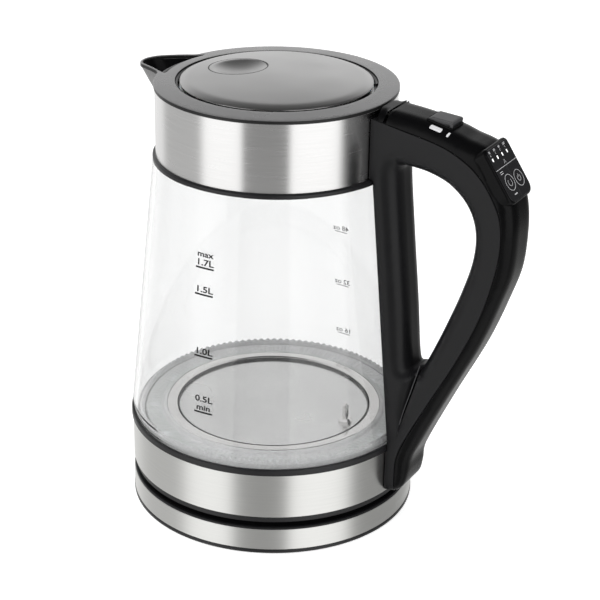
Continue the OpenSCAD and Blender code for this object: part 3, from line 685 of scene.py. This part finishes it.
def make_rim():
    angles = sorted({*[math.radians(a) for a in range(-180, 180, 2)],
                     *[math.radians(a / 2) for a in range(-60, 61)]})
    outer = with_radii([polar(rim_reach(p), p) for p in angles], 0.4, 0.35)
    inner = with_radii([polar(RIM_IN, math.radians(a)) for a in range(-180, 180, 2)], 0.25, 0.25)
    reach = next(a for a in np.arange(0.1, 0.6, 0.001) if wedge_reach(a, 0.0) < WELL_R)
    mouth = [polar(wedge_reach(p, 0.5), p) for p in spread_angles(reach, 50)]
    mouth += [polar(WELL_R, p) for p in reversed(spread_angles(reach, 20)[1:-1])]
    plate = Slab([outer, inner, with_radii(mouth, 0.45, 0.45)], RIM_T / 2, 2.6)
    top = plate.solid(
        lambda u, v, w: (u, v, RIM_Z + 0.4 - RIM_T / 2 + w - rim_fall(math.hypot(u, v))), steps=3)

    # Spout: outer skin from the rim's edge down to the collar, and its black inner wall
    limit, columns, rows = math.radians(24.5), 56, 24
    wall, toe_z, toe_share, corner_z = 1.6, 209.6, 0.12, 235.2
    points, faces, index = [], [], []
    for inward in (0.0, wall):
        for k in range(columns + 1):
            phi = limit * (2 * k / columns - 1)
            share = abs(phi) / limit
            r_top = rim_reach(phi) - 0.12 - inward
            rise = (max(share - toe_share, 0) / (1 - toe_share)) ** 1.05
            z_low = toe_z + (corner_z - toe_z) * rise
            r_low = 63.75 - inward
            z_top = RIM_Z - 0.9 - rim_fall(r_top)
            for j in range(rows + 1):
                t = j / rows
                z = z_top + (z_low - z_top) * t
                r = r_top + (r_low - r_top) * t + 0.9 * math.sin(math.pi * t) * (1 - share)
                points.append((*polar(max(r, r_low), phi), z))
    size = (columns + 1) * (rows + 1)
    for side in (0, 1):
        for k in range(columns):
            for j in range(rows):
                a = side * size + k * (rows + 1) + j
                faces.append((a, a + 1, a + rows + 2, a + rows + 1))
                index.append(side)
    border = (list(range(rows + 1))
              + [k * (rows + 1) + rows for k in range(1, columns + 1)]
              + [columns * (rows + 1) + j for j in range(rows - 1, -1, -1)]
              + [k * (rows + 1) for k in range(columns - 1, 0, -1)])
    for a, b in zip(border, border[1:] + border[:1]):
        faces.append((a, b, size + b, size + a))
        index.append(1)
    both = joined(top, (points, faces))
    # The plate's side faces take the third material, painted dark as shade; its top stays grey
    flat = len(top[1]) - 3 * sum(map(len, plate.loops))
    mesh_piece("rim_with_spout", *both, ["grey_rim", "cover_plastic", "rim_side"], "jug", "grey_rim",
               ["rim"], index=[0] * flat + [2] * (len(top[1]) - flat) + index)
    # Ring inside the rim under the lid's edge, in the dark material: painted shade in the gap
    inner_ring = fillet([(51.25, 236.2), (52.7, 236.2), (52.7, RIM_Z - 0.2), (51.25, RIM_Z - 0.9)],
                        0.3, 4)
    mesh_piece("rim_inner_edge", *lathe(inner_ring, gap=28), "rim_side", "jug", "black_plastic")
    # Dark ring filling the gap under the rim plate: painted shadow
    side = fillet([(61.4, 235.95), (63.75, 235.95), (63.75, RIM_Z - RIM_T + 0.1),
                   (61.4, RIM_Z - RIM_T + 0.1)], 0.12, 2)
    mesh_piece("rim_underside_painted_shadow", *lathe(side), "rim_side", "jug", "black_plastic")


def make_rings():
    seat = fillet([(77.4, 47.85), (79.3, 47.85), (79.3, 51.3), (77.75, 51.3), (77.45, 48.7),
                   (77.4, 48.7)], [0.05, 0.35, 0.8, 0.3, 0.05, 0.05], 6)
    mesh_piece("seat_ring_lip", *lathe(seat), "black_plastic", "jug", "black_plastic")
    # Black ring round the base's foot reaching down to 0.3 mm above the floor: partly the base's rim,
    # partly painted contact shadow filling the gap under it
    foot = fillet([(77, 0.3), (78.7, 0.3), (78.7, 2.5), (77, 2.5)], 0.35, 4)
    mesh_piece("base_rim_with_painted_shadow", *lathe(foot), "black_plastic", "power_base", "black_plastic")
    collar = fillet([(62.98, 198.85), (62.98, 198.68), (64.7, 197.35), (64.75, 197.1),
                     (65.1, 197.1), (65.1, 199.0), (63.6, 199.6), (63.6, 198.85)],
                    [0.02, 0.02, 0.05, 0.05, 0.4, 0.7, 0.1, 0.05], 6)
    mesh_piece("collar_ring_round", *lathe(collar), "black_plastic", "jug", "black_plastic",
               ["collar_ring"])


# ------------------------ lid

def circle(r, n, x=0.0):
    """n points round a circle about (x, 0)."""
    return [(x + r * math.cos(a), r * math.sin(a))
            for a in np.linspace(0, 2 * math.pi, n, endpoint=False)]


def make_lid():
    lid_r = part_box("lid_cover")[1].x / MM
    # Height of the dome's edge, its rise to the middle, and the finger dish's place and size
    edge_z, crown, dish_x, dish_r, dish_deep = 239.9, 3.1, -23.4, 15.3, 3.6
    # Thickness of its steel, rounding of its edge, distance outside the dish of the groove whose faces
    # are painted dark as shade
    sheet, edge_round, line_out = 0.75, 0.7, 0.25
    ball = (lid_r ** 2 + crown ** 2) / (2 * crown)
    dish_ball = (dish_r ** 2 + dish_deep ** 2) / (2 * dish_deep)

    def dome(u, v):
        r = np.hypot(u, v)
        z = edge_z + crown - (ball - np.sqrt(ball ** 2 - r ** 2))
        return z - 1.25 * smooth(lid_r - 5.5, lid_r + 1.5, r) ** 1.5

    def top(points):
        u, v = points[:, 0], points[:, 1]
        z = dome(u, v)
        d = np.hypot(u - dish_x, v)
        floor_z = dome(dish_x, 0.0) - dish_deep + dish_ball - np.sqrt(
            np.maximum(dish_ball ** 2 - d ** 2, 0))
        z = np.where(d < dish_r, np.minimum(z, floor_z), z)
        groove = np.clip(1 - np.abs(d - dish_r - line_out) / 0.35, 0, 1)
        z = z - 0.45 * groove
        edge = lid_r - np.hypot(u, v)
        round_off = np.clip(1 - edge / edge_round, 0, 1)
        return z - edge_round * (1 - np.sqrt(np.clip(1 - round_off ** 2, 0, 1)))

    loops = [with_radii(circle(lid_r, 240), 1.0, 0)]
    # Rings of points that follow the lid's edge and the dish's, so that both bend smoothly
    rings = [circle(lid_r - inset, n)
             for inset, n in ((1.1, 240), (1.8, 240), (2.8, 200), (4, 200), (5.4, 180))]
    rings += [circle(dish_r + grow, 120, dish_x)
              for grow in (-3.0, -1.9, -1.0, -0.4, -0.1, line_out, 0.6, 1.0, 1.8)]
    insets = [share * edge_round for share in (0.06, 0.14, 0.25, 0.4, 0.6, 0.8)]
    verts, faces = flat_region(loops, insets, 2.2, rings)
    z = top(verts)
    floor_z = dome(dish_x, 0.0) - dish_deep - 0.8
    inside = np.hypot(verts[:, 0] - dish_x, verts[:, 1]) < dish_r + 1.6
    under = np.where(inside, np.minimum(z - sheet, floor_z), z - sheet)
    under = np.where(np.hypot(verts[:, 0], verts[:, 1]) > lid_r - 0.9, edge_z - 1.1, under)
    shape = closed_sheet(verts, faces, z, under, lambda u, v, w: (u, v, w), steps=2)
    centres = np.array([verts[list(f)].mean(0) for f in faces])
    # Faces along the groove round the dish are painted dark: painted shade in the groove
    line = np.abs(np.hypot(centres[:, 0] - dish_x, centres[:, 1]) - dish_r - line_out) < 0.42
    index = np.zeros(len(shape[1]), int)
    index[:len(faces)][line] = 1
    mesh_piece("lid_cover_satin", *shape, ["lid_steel", "dish_line"], "lid", "lid_steel",
               ["lid_cover"], index=index, sharp=28)
    # A thin dark ring laid on the dome at the dish's edge: painted shade
    ring = ring_shape(dish_r, dish_r + 0.5, columns=120, centre=(dish_x, 0))
    mesh_piece("dish_ring_painted_shade", [(u, v, dome(u, v) - 0.04 + w) for u, v, w in ring[0]], ring[1],
               "dish_line", "lid", "lid_steel")
    hem = fillet([(lid_r - 0.9, 238.1), (lid_r + 0.1, 238.1), (lid_r + 0.1, 238.6),
                  (lid_r - 0.9, 238.6)], 0.22, 6)
    mesh_piece("lid_hem", *lathe(hem), "polished_steel", "lid", "lid_steel")


# ------------------------ handle

OUTER = spline([
    (60, 237.2), (74, 236.6), (89, 234.9), (104, 231.6), (112, 229.1), (118, 227.7), (122.8, 225.8),
    (127.2, 220.6), (133.6, 211.1), (138.9, 202.9), (141.2, 194.5), (142, 182), (140.7, 163),
    (135.2, 144.5), (125, 117.5), (108, 82.5), (94, 52.5), (90.3, 43), (89.3, 35), (87.6, 28),
    (84.2, 24), (80, 22.8), (76, 22.8)])
SEAM = spline([
    (60, 233), (80, 229.2), (98, 225.8), (109, 222), (120, 215.2), (129, 204.5), (135.2, 190),
    (135, 169), (127.6, 139), (115.6, 110.5), (101.4, 83), (88.6, 57.5), (84, 45), (83.2, 34),
    (83.4, 20)])
OPENING = spline([
    (81, 209.6), (94, 208), (106, 203.4), (115.6, 194), (120, 181.5), (119.2, 166), (114, 147.5),
    (106, 126), (97.4, 105.6), (93.4, 98.6), (89, 96.8), (86.6, 101), (84, 131), (80, 170),
    (77.2, 200), (77.6, 207.4), (81, 209.6)])[:-1]
HALF_W = 14.0
CAP_X = 70.2


def jug_face(z, y):
    """X of the handle's face towards the jug."""
    r = np.interp(z, [18, 47.4, 47.6, 51.6, 56.5, 196, 199.6, 200.2, 236],
                  [78.85, 78.85, 79.65, 79.65, 79.1, 66.2, 66.2, 63.9, 63.9])
    return np.sqrt(np.maximum(r ** 2 - y ** 2, 0))


def hug(u, v, w):
    """Bends the wall beside the jug round it, and leaves every other wall."""
    near = jug_face(v, HALF_W)
    return u + float(jug_face(v, w) - near) if abs(u - near) < 0.6 else u


RIDGE = spline([(96.2, 105.5), (91.3, 88), (86.8, 72.5), (83.6, 58)], 10)


def valley(points):
    """Hollow under the opening, between the column and the arm, with a crease on the arm's side."""
    p = np.asarray(points, float)
    a, b = RIDGE[:-1], RIDGE[1:]
    d = b - a
    t = np.clip(((p[:, None] - a) * d).sum(2) / (d * d).sum(1), 0, 1)
    off = p[:, None] - a - t[..., None] * d
    gap = np.linalg.norm(off, axis=2)
    best = gap.argmin(1)
    rows = np.arange(len(p))
    side = (d[best, 0] * off[rows, best, 1] - d[best, 1] * off[rows, best, 0])
    along = (best + t[rows, best]) / len(d)
    gap = gap[rows, best]
    deep = 8.6 * (1 - smooth(0.05, 1.0, along)) + 0.1
    left = np.clip(1 - gap / (9.5 - 4.5 * along), 0, 1)
    right = np.clip(1 - gap / 1.2, 0, 1) ** 2
    fall = np.where(side < 0, 1 - np.sqrt(np.clip(1 - left ** 2, 0, 1)), right)
    return np.where(p[:, 1] < RIDGE[0][1] + 2, deep * fall, 0)


def make_handle():
    seam_in = shifted(SEAM, 0.08)
    seam_in = seam_in[(seam_in[:, 0] > 62.8) & (seam_in[:, 1] > 23.9)]
    start = np.array([[jug_face(232.2, HALF_W), 232.2]])
    foot = OUTER[(OUTER[:, 1] < 24) & (OUTER[:, 0] < 83) & (OUTER[:, 0] > 78.4)]
    levels = np.concatenate([np.arange(23.6, 46, 4), [47.4, 47.6, 51.6, 54, 56.5],
                             np.arange(62, 195, 6), [196, 199.6, 200.2], np.arange(204, 231, 5)])
    back = np.stack([jug_face(levels, HALF_W), levels], 1)
    outline = np.concatenate([with_radii(start, 0.4, 0.4), with_radii(seam_in, 0.3, 0.22),
                              with_radii(foot, 4.2, 4.8), with_radii(back, 0.4, 0.4)])
    step = np.roll(OPENING, -1, 0) - np.roll(OPENING, 1, 0)
    normal = np.stack([step[:, 1], -step[:, 0]], 1) / np.linalg.norm(step, axis=1)[:, None]
    if even_odd(OPENING[:1] + normal[:1] * 0.5, [OPENING])[0]:
        normal = -normal
    column = smooth(0.15, 0.95, -normal[:, 0])
    hole = np.stack([OPENING[:, 0], OPENING[:, 1], 6.8 + 3.2 * column, 8.2 + 2.3 * column], 1)
    crest = [shifted(RIDGE, d) for d in (-1.2, -0.7, -0.35, -0.12, 0, 0.12, 0.35, 0.7, 1.2, 2, 3.2)]
    shell = Slab([outline, hole], HALF_W, 2.2, 1.5, sink=valley,
                 extra=[line[even_odd(line, [OPENING]) == 0] for line in crest])
    mesh_piece("handle_shell", *shell.solid(on_side, 8, hug), "handle_plastic", "jug",
               "black_plastic", ["handle_inner_shell"], sharp=40)

    # Thin strip of lighter plastic laid along the valley's ridge: painted highlight on the crease
    edge = np.concatenate([shifted(RIDGE[2:-6], 0.16), shifted(RIDGE[2:-6], -0.16)[::-1]])
    verts, faces = flat_region([turned(resampled(with_radii(edge, 0.1, 0), 0.8), True)], [1.0], 0.4)
    crease = closed_sheet(verts, faces, np.full(len(verts), -HALF_W - 0.02),
                          np.full(len(verts), -HALF_W + 0.5), on_side, 1)
    mesh_piece("handle_crease_painted_highlight", *crease, "button_plastic", "jug", "black_plastic")

    seam_out = shifted(SEAM, -0.08)
    seam_out = seam_out[(seam_out[:, 0] > 64.4) & (seam_out[:, 1] > 24.4)]
    top = OUTER[(OUTER[:, 0] > 64.4) & ~((OUTER[:, 1] < 30) & (OUTER[:, 0] < 83.7))]
    for name, side, node in (("handle_cap_front", -1, "handle_cap"),
                             ("handle_cover", 1, "handle_outer_cover")):
        upper = top[side * (top[:, 0] - CAP_X) > 0.06]
        lower = seam_out[side * (seam_out[:, 0] - CAP_X) > 0.06][::-1]
        reach = smooth(26, 60, upper[:, 1])
        upper = np.stack([*upper.T, 4.2 + 3.0 * reach, 4.8 + 3.4 * reach], 1)
        line = np.concatenate([upper, with_radii(lower, 0.8, 0.5)])
        joint = 0 if side > 0 else len(upper) - 1
        line[joint, 2:] = line[-1 if side > 0 else len(upper), 2:] = (0.15, 0.15)
        cover = Slab([line], HALF_W, 2.0, 1.4)
        mesh_piece(name, *cover.solid(on_side, 6), "cover_plastic", "jug", "gloss_black", [node],
                   sharp=40)
    return cover


# ------------------------ button, panel, marks

def local_frame(origin, x_axis, z_axis):
    """Maps (x, y, z) of a tilted frame in the X-Z plane to space."""
    def place(x, y, z):
        return (origin[0] + x_axis[0] * x + z_axis[0] * z, y,
                origin[1] + x_axis[1] * x + z_axis[1] * z)
    return place


TILT = math.radians(12.4)
at_button = local_frame((96.7, 233.2), (math.cos(TILT), -math.sin(TILT)),
                        (math.sin(TILT), math.cos(TILT)))
LEAN = math.radians(34)
at_panel = local_frame((130.6, 213.1), (math.cos(LEAN), math.sin(LEAN)),
                       (-math.sin(LEAN), math.cos(LEAN)))


def rounded_block(u0, u1, v0, v1, corner, rx, ry, half, pitch=1.2, step=0.8):
    corners = corner if isinstance(corner, (list, tuple)) else [corner] * 4
    loop = fillet([(u0, v0), (u1, v0), (u1, v1), (u0, v1)], list(corners), 8)
    return Slab([with_radii(loop, rx, ry)], half, pitch, step)


def make_button():
    side = fillet([(-6.7, -3), (-6.7, 1.1), (-5.9, 1.9), (5.5, 3.4), (6.7, 2.5), (6.7, -3)],
                  [0.3, 0.9, 1.2, 1.2, 1.0, 0.3], 6)
    block = Slab([with_radii(side, 1.3, 1.3)], 6.0, 0.9, 0.7)
    solid = block.solid(lambda u, v, w: at_button(u, w, v), 10)
    mesh_piece("release_button_cap", *solid, "button_plastic", "release_button", "button_plastic",
               sharp=40)
    # Thin dark lip of the opening that the button moves in
    outer = fillet([(-7.6, -6.9), (7.6, -6.9), (7.6, 6.9), (-7.6, 6.9)], 1.6, 6)
    inner = fillet([(-6.95, -6.25), (6.95, -6.25), (6.95, 6.25), (-6.95, 6.25)], 1.2, 6)
    lip = Slab([with_radii(outer, 0.3, 0.3), with_radii(inner, 0.2, 0.2)], 1.4, 1.0, 0.8)
    mesh_piece("button_surround", *lip.solid(lambda u, v, w: at_button(u, v, w - 0.5)),
               "cover_plastic", "jug", "gloss_black")


def make_panel():
    # Heights above the panel's plane: middle of the pod, middle of the window and keys, their print
    pod_mid, glass_mid, print_height = -2.75, 1.75, 2.47
    pod = rounded_block(-13.6, 13.6, -15.4, 15.4, [5.0, 5.0, 3.0, 3.0], 1.4, 1.4, 5.0, 1.4)
    mesh_piece("panel_pod", *pod.solid(lambda u, v, w: at_panel(pod_mid + w, u, v), 4),
               "cover_plastic", "jug", "gloss_black", ["panel_frame"], sharp=40)
    window = rounded_block(-12.3, 12.3, 3.1, 14.3, [0.2, 0.2, 2.4, 2.4], 0.25, 0.2, 0.7)
    mesh_piece("panel_window_glossy", *window.solid(lambda u, v, w: at_panel(glass_mid + w, u, v)),
               "gloss_black", "jug", "gloss_black", ["panel_window"])
    for name, key, u0, u1, corners in (
            ("keep_warm_key_cap", "keep_warm_key", -12.3, -0.1, [4.2, 0.2, 0.2, 0.2]),
            ("power_key_cap", "power_key", 0.1, 12.3, [0.2, 4.2, 0.2, 0.2])):
        cap = rounded_block(u0, u1, -14.3, 2.9, corners, 0.25, 0.2, 0.7)
        mesh_piece(name, *cap.solid(lambda u, v, w: at_panel(glass_mid + w, u, v)), "gloss_black",
                   key, "gloss_black", [key])

    def print_on(name, shape, material, body_name):
        points = [at_panel(print_height + w, u, v) for u, v, w in shape[0]]
        mesh_piece(name, points, shape[1], material, body_name, "gloss_black")

    columns = (-10.0, -4.4, 1.2, 6.8)
    lamps = joined(*[bar_shape(u - 0.5, u + 0.5, 7.9, 9.6, columns=1) for u in columns])
    print_on("lamp_windows", lamps, "lit_white", "jug")
    numbers = joined(*[moved(text_shape(t, size, 0.0), u, v) for u, name in
                       zip(columns, ("70", "80", "90", "100"))
                       for t, size, v in ((name, 1.8, 12.2), ("C", 1.4, 10.7))])
    marks = joined(numbers, moved(bar_shape(-1.1, 1.1, -0.09, 0.09, columns=1), -0.5, 5.2, 62),
                   moved(bar_shape(-1.1, 1.1, -0.09, 0.09, columns=1), 0.5, 5.2, -62),
                   bar_shape(-12.2, 12.2, 3.2, 3.42, columns=1))
    print_on("window_marks", marks, "print_white", "jug")
    left = joined(moved(ring_shape(4.1, 4.32), -4.9, -5.0),
                  moved(ring_shape(1.75, 1.95, 130, 410), -4.9, -5.0),
                  moved(bar_shape(-1.5, 1.5, -0.5, -0.2, columns=1), -8.2, 1.0),
                  moved(bar_shape(-1.5, 1.5, -0.5, -0.2, columns=1), -8.2, 2.0),
                  moved(bar_shape(-1.5, 1.5, -0.28, 0.28, columns=1), -4.9, -11.3))
    print_on("keep_warm_marks", left, "print_white", "keep_warm_key")
    right = joined(moved(ring_shape(4.1, 4.32), 5.2, -5.6),
                   moved(ring_shape(1.5, 1.7, 125, 415), 5.2, -5.6),
                   bar_shape(5.1, 5.3, -5.4, -3.5, columns=1))
    print_on("power_marks", right, "print_white", "power_key")


# Outer wall of the glass: its radius and height at the foot and at the neck
GLASS_FOOT, GLASS_NECK = (78.5, 56.5), (65.1, 197)
# Turn of the ounce marks on the far side, in degrees, and their heights
OUNCE_TURN = 87
OUNCES = (("16 oz", 63), ("32 oz", 95.3), ("48 oz", 130), ("57 oz", 157.2))


def glass_reach(z):
    (foot_r, foot_z), (neck_r, neck_z) = GLASS_FOOT, GLASS_NECK
    return foot_r - (foot_r - neck_r) * (z - foot_z) / (neck_z - foot_z)


def make_marks(cover):
    def on_glass(shape, azimuth, z):
        out = []
        for u, v, w in shape[0]:
            height = z + v
            r = glass_reach(height) + 0.2 + w
            a = math.radians(azimuth) + u / glass_reach(z)
            out.append((r * math.cos(a), r * math.sin(a), height))
        return out, shape[1]

    def lettering(text, size, v, bold=0.0, wide=1.0):
        points, faces = text_shape(text, size, bold)
        return moved(([(x * wide, y, w) for x, y, w in points], faces), 0, v)

    litres = []
    for azimuth, z, lines in ((-91.1, 157.2, ("1.7L", "max")), (-90.9, 142.9, ("1.5L",)),
                              (-89.75, 109.5, ("1.0L",)), (-88.7, 78.7, ("min", "0.5L"))):
        parts = [bar_shape(-5.4, 5.4, -0.45, 0.45)]
        parts += [lettering(line, 4.6 if line[0] in "01" else 4.2, 1.3 + 4.6 * k, 0.09, 1.35)
                  for k, line in enumerate(lines)]
        litres.append(on_glass(joined(*parts), azimuth, z))
    mesh_piece("litre_marks", *joined(*litres), "print_black", "jug", "glass")
    ounces = []
    for line, z in OUNCES:
        mark = joined(bar_shape(-4.2, 4.2, -0.22, 0.22), lettering(line, 4.2, 1.1, 0.04, 1.15))
        ounces.append(on_glass(mark, OUNCE_TURN, z))
    mesh_piece("ounce_marks", *joined(*ounces), "print_grey", "jug", "glass")

    # Plain light patch and a small mark on the handle's near side, beside the button
    for name, corners, r in (
            ("button_label", [(93.1, 232.4), (99.4, 231.0), (99.7, 232.2), (93.4, 233.6)], 0.4),
            ("button_mark", [(102.6, 229.9), (103.7, 229.6), (104.2, 231.0), (103.1, 231.3)], 0.3)):
        loop = resampled(with_radii(fillet(corners, r, 4), 0.2, 0), 0.6)
        verts, faces = flat_region([turned(loop, True)], [1.0], 0.8)
        h = cover.height(verts)
        shape = closed_sheet(verts, faces, -(h + 0.09), -(h - 0.15), on_side, 1)
        mesh_piece(name, *shape, "print_white", "jug", "gloss_black")


# ------------------------ light ring and heating plate

def make_light_ring():
    profile = [(59.6, 45.6), (74.25, 45.6), (74.25, 50), (74.25, 54.0), (74.0, 54.35), (73.4, 54.4),
               (73.0, 54.1), (72.8, 53.2), (72.6, 52.4), (72.2, 52.2), (71.8, 51.2), (71.3, 51.2),
               (70.9, 52.1), (69.5, 52.05), (68, 51.9), (66.5, 51.75), (65, 51.6), (63.5, 51.45),
               (62.4, 51.35), (61.9, 51.9), (61.3, 52.6), (60.7, 52.7), (59.6, 52.7)]

    # Fine waves on the flat reflector, coarser ones on the outer wall's top
    def crimped(r, z, a):
        if 62.4 < r < 70.9 and z > 50:
            z += 0.12 * math.cos(150 * a) + 0.1 * math.cos(31 * a + r)
        if r > 72.9 and z > 53.5:
            z += 0.5 * math.cos(120 * a)
        return r, z

    mesh_piece("light_ring_crimped", *lathe(profile, 960, crimped), "light_ring", "jug",
               "light_ring", ["light_ring"], sharp=60)
    # Thin dark rings laid in the light ring's groove and in the gap at the plate's edge: painted shade
    for name, r0, r1, z0, z1 in (("ring_groove_painted_shade", 71.3, 71.85, 51.2, 51.75),
                                 ("plate_edge_painted_shade", 52.75, 53.3, 50.3, 52.3)):
        groove = fillet([(r0, z0), (r1, z0), (r1, z1), (r0, z1)], 0.08, 2)
        mesh_piece(name, *lathe(groove), "dish_line", "jug", "black_plastic")
    lip = fillet([(53.2, 50.6), (59.55, 50.6), (59.55, 52.4), (59.0, 52.75), (54.6, 52.75),
                  (53.8, 52.2)], [0.1, 0.1, 0.2, 0.3, 0.6, 0.5], 5)
    mesh_piece("plate_raised_edge", *lathe(lip), "polished_steel", "jug", "polished_steel")


# ------------------------ everything

NODE_MATERIALS = {
    "black_plastic": ["base_bottom_cover", "base_top_cover", "base_coupler", "jug_coupler",
                      "jug_bottom_cover", "seat_ring", "lid_well", "spout_filter",
                      "lid_inner_cover", "handle_outer_cover"],
    "band_steel": ["base_steel_band", "lower_band"],
    "collar_steel": ["upper_collar"],
    "rubber": ["anti_slip_ring", "cord_gland"],
    "brass": ["base_contacts", "jug_contacts", "element_terminals"],
    "wire": ["base_wires", "handle_wires"],
    "screw_steel": ["base_screws", "bottom_screws", "plate_clamp", "probe_nut", "hinge_pins",
                    "lid_springs", "handle_screws", "button_spring", "latch_spring", "lid_screws"],
    "silicone": ["lower_gasket", "plate_gasket", "upper_gasket", "lid_gasket"],
    "glass": ["glass_jug"],
    "board": ["led_board", "control_board"],
    "lamp": ["led_lamps", "panel_lamps"],
    "plate_steel": ["heating_plate"],
    "polished_steel": ["temperature_probe", "filter_mesh"],
    "element": ["heating_element"],
    "white_plastic": ["thermal_cutout", "latch_slider"],
    "button_plastic": ["key_switches", "lid_button"],
}


def dress_nodes():
    for material, names in NODE_MATERIALS.items():
        for name in names:
            NODES[name].data.materials.clear()
            NODES[name].data.materials.append(M[material])


make_camera()
make_world()
make_floor()
soft_light("top_light", (0.1, -0.2, 1.3), (0, 0, 0.1), (1.4, 1.4), 16)
soft_light("front_light", (0.9, -1.3, 0.8), (0.05, 0, 0.12), (0.9, 0.9), 9)
soft_light("side_light", (-1.2, -0.6, 0.7), (0, 0, 0.12), (0.8, 0.8), 6)
dress_nodes()
make_rim()
make_rings()
make_lid()
handle_cover = make_handle()
make_button()
make_panel()
make_marks(handle_cover)
make_light_ring()
bpy.context.scene.view_settings.view_transform = "Standard"

for corners in (cad_box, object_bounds()):
    json.dumps([[round(c, 5) for c in corner] for corner in corners]) + "\n"
